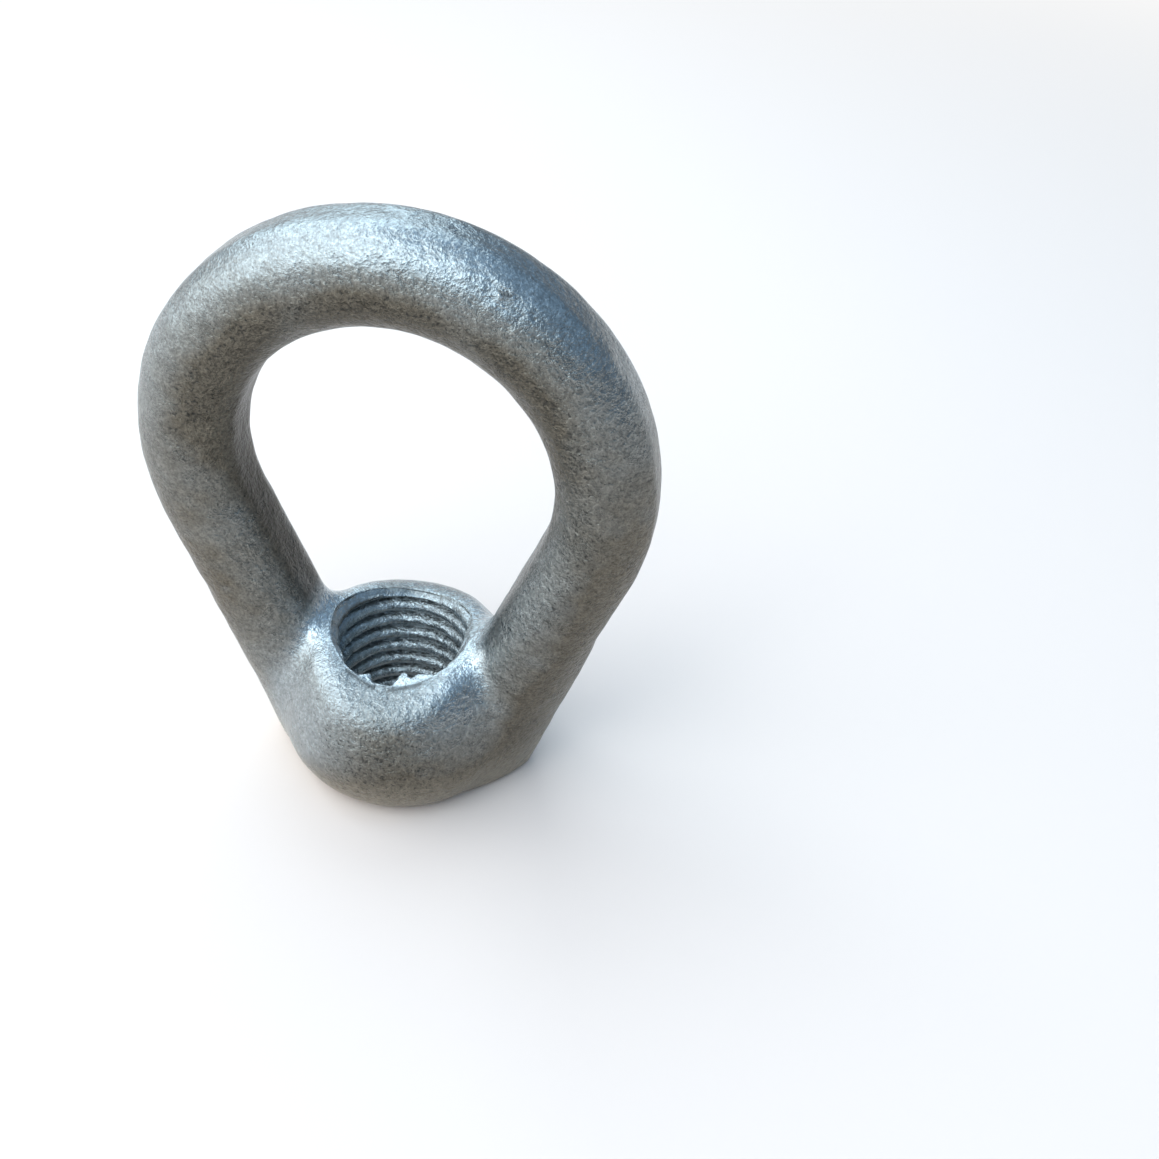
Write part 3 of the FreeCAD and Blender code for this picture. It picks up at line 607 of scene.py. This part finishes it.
# Materials

# Noises of the zinc on Object coordinates: scale per metre, detail, roughness and distortion
ZINC_NOISES = {
    "sparkle": (3400, 2, 0.6, 0.0),
    "grain": (1500, 3, 0.65, 0.0),
    "cloud": (420, 3, 0.6, 0.0),
    "patch": (95, 2, 0.5, 0.0),
    "specks": (2300, 2, 0.5, 0.0),
    "blotch": (1150, 3, 0.6, 0.2),
    "peel": (800, 2, 0.5, 0.0),
}
# Shares of noises and masks in what they make together, each with the value that they are added to
GREY = (0.0, {"sparkle": 0.42, "grain": 0.40, "cloud": 0.18})
# share of the brown film, which also carries the painted shade
FILM_AND_SHADE = (-0.33, {"cloud": 0.25, "film": 1.0, "patch": 0.5})
HIGHLIGHT_GRAIN = (-0.1, {"grain": 1.4})
REFLECTED_GROUND = (-0.2, {"grain": 1.6})
SPECK_EDGE = (0.295, {"soil": 0.15})
ROUGHNESS = (0.20, {"cloud": 0.12, "speck": 0.20, "film": 0.03})
HEIGHT = (0.0, {"sparkle": 0.35, "grain": 0.6, "peel": 0.6, "blotch": 0.5})
RUGGED = (0.5, {"full_film": 0.55, "full_soil": 0.5})
# Places of the darkest, middle and lightest grey on the range of the noises
GREY_STOPS = (0.37, 0.50, 0.63)
# Strength of the land's dark, partly painted shade, and of the specks' dark, of the grooves' painted shade,
# and the sharpness of a speck's edge
LAND_DARK = 0.6
SPECK_DARK = 0.7
GROOVE_DARK = 0.85
SPECK_SHARPNESS = 12.0
# Height of the grain's bump, in metres
BUMP_DISTANCE = 0.0004

# Distances in metres between which the floor goes over into an even white, and the white's strength
FLOOR_FADE = (0.2, 0.6)
FLOOR_WHITE = 0.93

# Sockets of a Mix node that is set to colours
MIX_FACTOR, MIX_FIRST, MIX_SECOND, MIX_RESULT = 0, 6, 7, 2


def wire(tree, source, target):
    """Link two sockets of a tree."""
    tree.links.new(source, target)


def math_node(tree, operation, first, second=None, third=None, clamp=False):
    """Math node whose inputs are sockets or numbers; returns its output."""
    node = tree.nodes.new("ShaderNodeMath")
    node.operation = operation
    node.use_clamp = clamp
    for index, value in enumerate((first, second, third)):
        if value is None:
            continue
        if isinstance(value, (int, float)):
            node.inputs[index].default_value = value
        else:
            wire(tree, value, node.inputs[index])
    return node.outputs[0]


def shares_node(tree, values, recipe, clamp=False):
    """Sum of a recipe's base and each of the named values times its share."""
    total, shares = recipe
    for index, (name, share) in enumerate(shares.items(), start=1):
        is_last = index == len(shares)
        total = math_node(tree, "MULTIPLY_ADD", values[name], share, total, clamp=clamp and is_last)
    return total


def noise_node(tree, vector, scale, detail, rough, distortion):
    """Noise texture on the given coordinates; returns its value."""
    node = tree.nodes.new("ShaderNodeTexNoise")
    node.inputs["Scale"].default_value = scale
    node.inputs["Detail"].default_value = detail
    node.inputs["Roughness"].default_value = rough
    node.inputs["Distortion"].default_value = distortion
    wire(tree, vector, node.inputs["Vector"])
    return node.outputs["Fac"]


def mask_node(tree, name):
    """Value of a mask that is laid on the mesh."""
    node = tree.nodes.new("ShaderNodeAttribute")
    node.attribute_name = name
    return node.outputs["Fac"]


def ramp_node(tree, value, stops):
    """Colour ramp from (place, colour) stops; returns its colour."""
    node = tree.nodes.new("ShaderNodeValToRGB")
    ramp = node.color_ramp
    while len(ramp.elements) < len(stops):
        ramp.elements.new(0.5)
    for element, (place, colour) in zip(ramp.elements, stops):
        element.position = place
        element.color = (*colour, 1)
    wire(tree, value, node.inputs["Fac"])
    return node.outputs["Color"]


def mix_node(tree, factor, first, second):
    """Mix of a colour socket with a colour or a second socket; returns its colour."""
    node = tree.nodes.new("ShaderNodeMix")
    node.data_type = "RGBA"
    wire(tree, factor, node.inputs[MIX_FACTOR])
    wire(tree, first, node.inputs[MIX_FIRST])
    if isinstance(second, bpy.types.NodeSocket):
        wire(tree, second, node.inputs[MIX_SECOND])
    else:
        node.inputs[MIX_SECOND].default_value = (*second, 1)
    return node.outputs[MIX_RESULT]


def object_place(tree):
    """Object coordinates."""
    return tree.nodes.new("ShaderNodeTexCoord").outputs["Object"]


def zinc_colour(tree, values, look):
    """Mottled grey under brown film and painted shade, with painted highlights, dark specks, shaded grooves.
    """
    grey = shares_node(tree, values, GREY)
    zinc = ramp_node(tree, grey, list(zip(GREY_STOPS, (look.dark_zinc, look.grey_zinc, look.light_zinc))))
    # tones of the brown film, which also carry the painted shade
    dull = ramp_node(tree, grey, [(GREY_STOPS[0], look.dark_film_and_shade), (GREY_STOPS[2], look.light_film_and_shade)])
    # painted reflection of a brown ground near the base, lighter than the film
    reflected_ground = math_node(tree, "MULTIPLY", shares_node(tree, values, REFLECTED_GROUND), values["ground_reflection"], clamp=True)
    dull = mix_node(tree, reflected_ground, dull, look.ground_reflection_colour)
    colour = mix_node(tree, shares_node(tree, values, FILM_AND_SHADE, clamp=True), zinc, dull)
    # the lands darker: partly their dull face, partly painted shade inside the eye
    landed = math_node(tree, "MULTIPLY", values["land"], LAND_DARK)
    colour = mix_node(tree, landed, colour, look.speck_and_shade_colour)
    # painted highlights in the blends by the mouth, on the thread's crests and on the torn skin
    highlit = math_node(tree, "MULTIPLY", shares_node(tree, values, HIGHLIGHT_GRAIN), values["painted_highlight"], clamp=True)
    colour = mix_node(tree, highlit, colour, look.highlight_zinc)
    specked = math_node(tree, "MULTIPLY", values["speck"], SPECK_DARK)
    colour = mix_node(tree, specked, colour, look.speck_and_shade_colour)
    # painted shade in the thread's grooves
    shade = math_node(tree, "MULTIPLY", values["groove"], GROOVE_DARK, clamp=True)
    return mix_node(tree, shade, colour, look.speck_and_shade_colour)


def zinc_material(look):
    """Hot-dip zinc on a forged skin: mottled grey with a fine rough grain, pits, dull films and painted
    shade.

    The masks laid on the mesh place the film and its painted shade, the painted highlights, the soiled
    bands, the lands and the thread's shaded grooves; noise on Object coordinates breaks them up.
    """
    material = bpy.data.materials.new("hot_dip_zinc")
    material.use_nodes = True
    tree = material.node_tree
    shader = tree.nodes["Principled BSDF"]
    place = object_place(tree)
    values = {name: noise_node(tree, place, *noise) for name, noise in ZINC_NOISES.items()}
    for name in ("film", "painted_highlight", "soil", "groove", "ground_reflection", "land"):
        values[name] = mask_node(tree, name)
    # dark specks and larger pits grow in number with the soil mask
    pits = math_node(tree, "MINIMUM", values["specks"], values["blotch"])
    speck = math_node(tree, "SUBTRACT", shares_node(tree, values, SPECK_EDGE), pits)
    values["speck"] = math_node(tree, "MULTIPLY", speck, SPECK_SHARPNESS, clamp=True)
    values["full_film"] = math_node(tree, "MINIMUM", values["film"], 1.0)
    values["full_soil"] = math_node(tree, "MINIMUM", values["soil"], 1.0)
    wire(tree, zinc_colour(tree, values, look), shader.inputs["Base Color"])
    shader.inputs["Metallic"].default_value = look.metallic
    wire(tree, shares_node(tree, values, ROUGHNESS, clamp=True), shader.inputs["Roughness"])
    # the skin is more rugged where it is filmed or soiled
    height = shares_node(tree, values, HEIGHT)
    height = math_node(tree, "MULTIPLY", height, shares_node(tree, values, RUGGED))
    bump = tree.nodes.new("ShaderNodeBump")
    bump.inputs["Strength"].default_value = 1.0
    bump.inputs["Distance"].default_value = BUMP_DISTANCE
    wire(tree, height, bump.inputs["Height"])
    wire(tree, bump.outputs["Normal"], shader.inputs["Normal"])
    return material


def floor_material(look):
    """Plain pale floor that takes the shadow; farther out it is an even white that the metal sees too."""
    material = bpy.data.materials.new("pale_floor")
    material.use_nodes = True
    tree = material.node_tree
    shader = tree.nodes["Principled BSDF"]
    shader.inputs["Base Color"].default_value = (*look.floor_colour, 1)
    shader.inputs["Roughness"].default_value = 0.9
    away = tree.nodes.new("ShaderNodeVectorMath")
    away.operation = "LENGTH"
    wire(tree, object_place(tree), away.inputs[0])
    near, far = FLOOR_FADE
    rate = 1 / (far - near)
    fade = math_node(tree, "MULTIPLY_ADD", away.outputs["Value"], rate, -near * rate, clamp=True)
    path = tree.nodes.new("ShaderNodeLightPath")
    seen = math_node(tree, "MAXIMUM", path.outputs["Is Camera Ray"], path.outputs["Is Glossy Ray"])
    seen = math_node(tree, "MAXIMUM", seen, path.outputs["Is Transmission Ray"])
    white = tree.nodes.new("ShaderNodeEmission")
    white.inputs["Color"].default_value = (FLOOR_WHITE, FLOOR_WHITE, FLOOR_WHITE, 1)
    mix = tree.nodes.new("ShaderNodeMixShader")
    wire(tree, math_node(tree, "MULTIPLY", seen, fade), mix.inputs[0])
    wire(tree, shader.outputs[0], mix.inputs[1])
    wire(tree, white.outputs[0], mix.inputs[2])
    wire(tree, mix.outputs[0], tree.nodes["Material Output"].inputs["Surface"])
    return material


# Sizes and colours that a user would change


class EyeNutSizes(bpy.types.PropertyGroup):
    """Sizes of the forging, in metres."""

    eye_width: bpy.props.FloatProperty(
        name="Eye width", description="Clear width of the eye", default=0.0381, unit="LENGTH"
    )
    bow_height: bpy.props.FloatProperty(
        name="Bow height",
        description="Height of the bow's centre over the base",
        default=0.04675,
        unit="LENGTH",
    )
    bar_diameter: bpy.props.FloatProperty(
        name="Bar diameter", description="Diameter of the round bar", default=0.0132, unit="LENGTH"
    )
    foot_diameter: bpy.props.FloatProperty(
        name="Foot diameter", description="Diameter of a leg at the base", default=0.0144, unit="LENGTH"
    )
    leg_angle: bpy.props.FloatProperty(
        name="Leg angle", description="Lean of each leg", default=math.radians(21.4), subtype="ANGLE"
    )
    hub_height: bpy.props.FloatProperty(
        name="Hub height", description="Height of the hub over the base", default=0.021, unit="LENGTH"
    )
    base_diameter: bpy.props.FloatProperty(
        name="Base diameter",
        description="Diameter of the hub at the base",
        default=0.02595,
        unit="LENGTH",
    )
    belly_diameter: bpy.props.FloatProperty(
        name="Belly diameter", description="Largest diameter of the hub", default=0.0334, unit="LENGTH"
    )
    belly_height: bpy.props.FloatProperty(
        name="Belly height",
        description="Height of the hub's largest diameter",
        default=0.0076,
        unit="LENGTH",
    )
    brow_diameter: bpy.props.FloatProperty(
        name="Brow diameter", description="Diameter of the hub at its brim", default=0.023, unit="LENGTH"
    )
    tip_spread: bpy.props.FloatProperty(
        name="Tip spread",
        description="Distance between the tips of the base",
        default=0.0366,
        unit="LENGTH",
    )
    tip_width: bpy.props.FloatProperty(
        name="Tip width", description="Width of the blunt tips", default=0.0026, unit="LENGTH"
    )
    heel_height: bpy.props.FloatProperty(
        name="Heel height",
        description="Height at which a heel has run out",
        default=0.028,
        unit="LENGTH",
    )
    bore_diameter: bpy.props.FloatProperty(
        name="Bore diameter",
        description="Diameter at the crests of the thread",
        default=0.017,
        unit="LENGTH",
    )
    mouth_diameter: bpy.props.FloatProperty(
        name="Mouth diameter", description="Diameter of the countersinks", default=0.0194, unit="LENGTH"
    )
    thread_pitch: bpy.props.FloatProperty(
        name="Thread pitch", description="Rise of the thread in one turn", default=0.00254, unit="LENGTH"
    )
    thread_depth: bpy.props.FloatProperty(
        name="Thread depth",
        description="Depth of the groove below the crests",
        default=0.0012,
        unit="LENGTH",
    )
    land_width: bpy.props.FloatProperty(
        name="Land width", description="Width of the trimmed flash lands", default=0.0045, unit="LENGTH"
    )
    flank_radius: bpy.props.FloatProperty(
        name="Flank radius",
        description="Radius of the heels' flanks in plan",
        default=0.06,
        unit="LENGTH",
    )
    heel_bulge: bpy.props.FloatProperty(
        name="Heel bulge",
        description="Growth of a heel beside the leg at the base",
        default=0.0032,
        unit="LENGTH",
    )
    tip_round: bpy.props.FloatProperty(
        name="Tip rounding",
        description="Width of the rounding of a tip's corners",
        default=0.0008,
        unit="LENGTH",
    )
    heel_blend: bpy.props.FloatProperty(
        name="Heel blend",
        description="Width of the blend between heels and hub",
        default=0.0016,
        unit="LENGTH",
    )
    base_round: bpy.props.FloatProperty(
        name="Base rounding",
        description="Width of the rounding of the base's rim",
        default=0.0015,
        unit="LENGTH",
    )
    crotch_radius: bpy.props.FloatProperty(
        name="Crotch blend",
        description="Width of the blend between legs and hub",
        default=0.0032,
        unit="LENGTH",
    )
    brim_round: bpy.props.FloatProperty(
        name="Brim rounding",
        description="Width of the rounding at the hub's brim",
        default=0.0015,
        unit="LENGTH",
    )
    saddle: bpy.props.FloatProperty(
        name="Saddle", description="Rise of the brim towards the legs", default=0.001, unit="LENGTH"
    )
    front_dip: bpy.props.FloatProperty(
        name="Front dip",
        description="Extra fall of the brim in front of the bore",
        default=0.0009,
        unit="LENGTH",
    )


class EyeNutLook(bpy.types.PropertyGroup):
    """Colours of the finish and the studio."""

    dark_zinc: bpy.props.FloatVectorProperty(
        name="Dark zinc",
        description="Darkest grey of the zinc",
        default=(0.235, 0.255, 0.262),
        subtype="COLOR",
    )
    grey_zinc: bpy.props.FloatVectorProperty(
        name="Grey zinc",
        description="Middle grey of the zinc",
        default=(0.34, 0.375, 0.387),
        subtype="COLOR",
    )
    light_zinc: bpy.props.FloatVectorProperty(
        name="Light zinc",
        description="Lightest grey of the zinc",
        default=(0.49, 0.545, 0.565),
        subtype="COLOR",
    )
    # colour of the painted highlights in the blends by the mouth, on the thread's crests and on the torn
    # skin
    highlight_zinc: bpy.props.FloatVectorProperty(
        name="Fresh zinc",
        description="Fresh zinc beside the bore",
        default=(0.74, 0.83, 0.88),
        subtype="COLOR",
    )
    # tones of the brown film, which also carry the painted shade on the skin that faces down and right
    dark_film_and_shade: bpy.props.FloatVectorProperty(
        name="Dark film",
        description="Darker tone of the brown film",
        default=(0.070, 0.063, 0.050),
        subtype="COLOR",
    )
    light_film_and_shade: bpy.props.FloatVectorProperty(
        name="Light film",
        description="Lighter tone of the brown film",
        default=(0.205, 0.184, 0.146),
        subtype="COLOR",
    )
    # colour of the painted reflection of a brown ground near the base
    ground_reflection_colour: bpy.props.FloatVectorProperty(
        name="Sandy film",
        description="Dry brown film near the base",
        default=(0.47, 0.43, 0.35),
        subtype="COLOR",
    )
    # also the colour of the painted shade in the thread's grooves and on the lands
    speck_and_shade_colour: bpy.props.FloatVectorProperty(
        name="Specks",
        description="Colour of the dark specks and pits",
        default=(0.035, 0.035, 0.035),
        subtype="COLOR",
    )
    metallic: bpy.props.FloatProperty(
        name="Metallic", description="Share of bare metal in the skin", default=0.9, subtype="FACTOR"
    )
    floor_colour: bpy.props.FloatVectorProperty(
        name="Floor", description="Colour of the floor", default=(0.93, 0.80, 0.73), subtype="COLOR"
    )


class Millimetres:
    """The sizes in millimetres, angles as they are, with those that follow from them."""

    def __init__(self, sizes):
        for name in EyeNutSizes.__annotations__:
            scale = 1 if name == "leg_angle" else 1000
            setattr(self, name, getattr(sizes, name) * scale)
        self.loop_radius = (self.eye_width + self.bar_diameter) / 2
        self.mouth_radius = self.mouth_diameter / 2
        chord = math.sqrt(self.bar_diameter**2 - self.land_width**2)
        self.land_depth = (self.bar_diameter - chord) / 2
        outline = self.eye_width / 2 + self.bar_diameter - self.land_depth
        side_x = outline * math.cos(self.leg_angle)
        self.side_z = self.bow_height - outline * math.sin(self.leg_angle)
        self.side_slope = (side_x - self.tip_spread / 2) / self.side_z


class BuildForging(bpy.types.Operator):
    """Build the threaded forging in place of the frame's plain one."""

    bl_idname = "eye_nut.forging"
    bl_label = "Build forging"

    def execute(self, context):
        """Skin the form, cut the thread and lay the finish on."""
        s = Millimetres(context.scene.eye_nut_sizes)
        sections, around, round_bore = FULL_GRID

        def form(p):
            return nut_form(p, s)

        path, normals = loop_path(s, sections)
        centres, verts = skin_of(form, path, normals, around)
        out = verts - centres
        out /= np.linalg.norm(out, axis=1, keepdims=True)
        verts = np.clip(verts + out * skin_relief(verts)[:, None], LOW, HIGH)
        piece = new_piece("eye_nut_forging", verts, ring_faces(len(path), around))
        face_out(piece)
        tap = new_piece("thread_tap", *thread_tap(s, form, round_bore))
        skin = new_piece("torn_skin", *torn_skin(s, form))
        self.join(piece, context, ((tap, "DIFFERENCE"), (skin, "UNION")))
        if len(piece.data.polygons) < sections * around:
            raise RuntimeError("the thread was not cut")
        self.finish_piece(piece, context, s)
        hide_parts("eye_nut")
        return {"FINISHED"}

    def join(self, piece, context, tools):
        """Apply a Boolean with each tool in turn and remove the tools."""
        for tool, operation in tools:
            face_out(tool)
            cut = piece.modifiers.new(tool.name, "BOOLEAN")
            cut.operation = operation
            cut.solver = "EXACT"
            cut.object = tool
        context.view_layer.update()
        done = bpy.data.meshes.new_from_object(piece.evaluated_get(context.evaluated_depsgraph_get()))
        piece.modifiers.clear()
        piece.data = done
        for tool, _ in tools:
            bpy.data.objects.remove(tool)

    def finish_piece(self, piece, context, s):
        """Smooth shading, masks, material and body."""
        piece.data.shade_smooth()
        piece.data.set_sharp_from_angle(angle=math.radians(42))
        self.lay_masks(piece.data, s)
        piece.data.materials.clear()
        piece.data.materials.append(zinc_material(context.scene.eye_nut_look))
        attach(piece, "root")

    def lay_masks(self, mesh, s, most=3):
        """Lay the masks of the finish on the vertices, each from 0 to most."""
        normal = np.empty(len(mesh.vertices) * 3)
        mesh.vertex_normals.foreach_get("vector", normal)
        masks = finish_masks(vertex_places(mesh) * 1000, normal.reshape(-1, 3), s)
        for name, values in masks.items():
            attribute = mesh.attributes.new(name, "FLOAT", "POINT")
            attribute.data.foreach_set("value", np.clip(values, 0, most).astype(np.float32))


# Studio: floor, world, lamps and camera

# Half of the floor's side, in millimetres
FLOOR_REACH = 1500.0
# World from the horizon up: height on the unit sphere and colour; pale where it meets the floor, grey
# above it and cool overhead
SKY_STOPS = (
    (0.0, (0.64, 0.64, 0.64)),
    (0.05, (0.46, 0.465, 0.47)),
    (0.22, (0.16, 0.175, 0.19)),
    (0.45, (0.14, 0.24, 0.36)),
    (1.0, (0.40, 0.60, 0.84)),
)
# Lamps: turn and tilt in degrees, distance and side in metres, radiance and colour
LAMPS = {
    "key": (-66, 40, 0.75, 1.05, 1.7, (0.97, 1.0, 0.98)),
    "front": (-8, 52, 0.80, 0.60, 1.9, (0.86, 0.97, 1.0)),
    "back": (-142, 44, 0.80, 0.80, 2.05, (0.82, 0.95, 1.0)),
}
# Point that the lamps look at, in metres
LAMP_AIM = np.array([0, 0, 0.04])

# The photograph's side and focal length in pixels, and its camera's turn, tilt and roll in degrees
PHOTO_SIDE = 1159
FOCAL_PIXELS = 1203.9
CAMERA_ANGLES = (6.832, 38.574, 5.19)
# Place of the base's centre in the photograph, in pixels, and its depth before the camera, in metres
BASE_PIXEL = (405.448, 736.185)
BASE_DEPTH = 0.174621
SENSOR_WIDTH = 36
CLIP_START = 0.01


def direction(turn, tilt):
    """Unit vector at the angle turn from -Y towards +X and at the angle tilt over the floor."""
    return np.array([math.sin(turn) * math.cos(tilt), -math.cos(turn) * math.cos(tilt), math.sin(tilt)])


def put(thing, right, up, back, place):
    """Link an object to the scene with its own axes along right, up and back."""
    bpy.context.scene.collection.objects.link(thing)
    rows = np.eye(4)
    rows[:3] = np.stack([right, up, back, place], axis=1)
    thing.matrix_world = Matrix(rows.tolist())


class BuildStudio(bpy.types.Operator):
    """Build the pale floor, the lamps and the camera."""

    bl_idname = "eye_nut.studio"
    bl_label = "Build studio"

    def execute(self, context):
        """Floor, world, lamps, camera."""
        corners = np.array([[-1, -1, 0], [1, -1, 0], [1, 1, 0], [-1, 1, 0]]) * FLOOR_REACH
        floor = new_piece("floor", corners, [[0, 1, 2, 3]])
        floor.data.materials.append(floor_material(context.scene.eye_nut_look))
        floor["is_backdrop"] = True
        self.light_world(context)
        for name, settings in LAMPS.items():
            self.add_lamp(name, *settings)
        self.add_camera(context)
        context.scene.view_settings.view_transform = "Standard"
        return {"FINISHED"}

    def light_world(self, context):
        """World whose colour goes by the height of the direction over the horizon."""
        world = bpy.data.worlds.new("studio")
        context.scene.world = world
        world.use_nodes = True
        tree = world.node_tree
        parts = tree.nodes.new("ShaderNodeSeparateXYZ")
        wire(tree, tree.nodes.new("ShaderNodeTexCoord").outputs["Generated"], parts.inputs[0])
        sky = ramp_node(tree, parts.outputs["Z"], SKY_STOPS)
        wire(tree, sky, tree.nodes["Background"].inputs["Color"])

    def add_lamp(self, name, turn, tilt, far, side, radiance, colour):
        """Square area lamp that looks at the middle of the nut; its power is radiance * pi * area."""
        light = bpy.data.lights.new(name, "AREA")
        light.shape = "SQUARE"
        light.size = side
        light.energy = radiance * math.pi * side**2
        light.color = colour
        back = direction(math.radians(turn), math.radians(tilt))
        right = np.cross([0, 0, 1.0], back)
        right /= np.linalg.norm(right)
        put(bpy.data.objects.new(name, light), right, np.cross(back, right), back, back * far + LAMP_AIM)

    def add_camera(self, context):
        """Camera placed by the photograph: turn, tilt, roll and the base's place in the picture.

        The camera stands so that the base's centre, the origin, lies at BASE_DEPTH before it and is
        seen at BASE_PIXEL, counted right and down from the picture's corner.
        """
        turn, tilt, roll = (math.radians(angle) for angle in CAMERA_ANGLES)
        back = direction(turn, tilt)
        right = np.cross([0, 0, 1.0], back)
        right /= np.linalg.norm(right)
        down = np.cross(right, back)
        right, down = (
            math.cos(roll) * right - math.sin(roll) * down,
            math.sin(roll) * right + math.cos(roll) * down,
        )
        middle = (PHOTO_SIDE - 1) / 2
        rightwards, downwards = ((pixel - middle) / FOCAL_PIXELS * BASE_DEPTH for pixel in BASE_PIXEL)
        data = bpy.data.cameras.new("camera")
        data.sensor_width = SENSOR_WIDTH
        data.lens = FOCAL_PIXELS / PHOTO_SIDE * SENSOR_WIDTH
        data.clip_start = CLIP_START
        camera = bpy.data.objects.new("camera", data)
        put(camera, right, -down, back, back * BASE_DEPTH - right * rightwards - down * downwards)
        context.scene.camera = camera


class EyeNutPanel(bpy.types.Panel):
    """Sidebar panel with the sizes, the look and the builders."""

    bl_idname = "VIEW3D_PT_eye_nut"
    bl_label = "Eye nut"
    bl_space_type = "VIEW_3D"
    bl_region_type = "UI"
    bl_category = "Eye nut"

    def draw(self, context):
        """List the builders and every size and colour."""
        layout = self.layout
        for operator in (BuildForging, BuildStudio):
            layout.operator(operator.bl_idname)
        for group in (context.scene.eye_nut_sizes, context.scene.eye_nut_look):
            for name in type(group).__annotations__:
                layout.prop(group, name)


CLASSES = (EyeNutSizes, EyeNutLook, BuildForging, BuildStudio, EyeNutPanel)


def register():
    """Register the classes and hang the settings on the scene."""
    for item in CLASSES:
        bpy.utils.register_class(item)
    bpy.types.Scene.eye_nut_sizes = bpy.props.PointerProperty(type=EyeNutSizes)
    bpy.types.Scene.eye_nut_look = bpy.props.PointerProperty(type=EyeNutLook)


def unregister():
    """Take the settings off the scene and unregister the classes."""
    del bpy.types.Scene.eye_nut_look
    del bpy.types.Scene.eye_nut_sizes
    for item in reversed(CLASSES):
        bpy.utils.unregister_class(item)


def main():
    """Build everything in order."""
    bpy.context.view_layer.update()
    register()
    bpy.ops.eye_nut.forging()
    bpy.ops.eye_nut.studio()


if __name__ == "__main__":
    main()
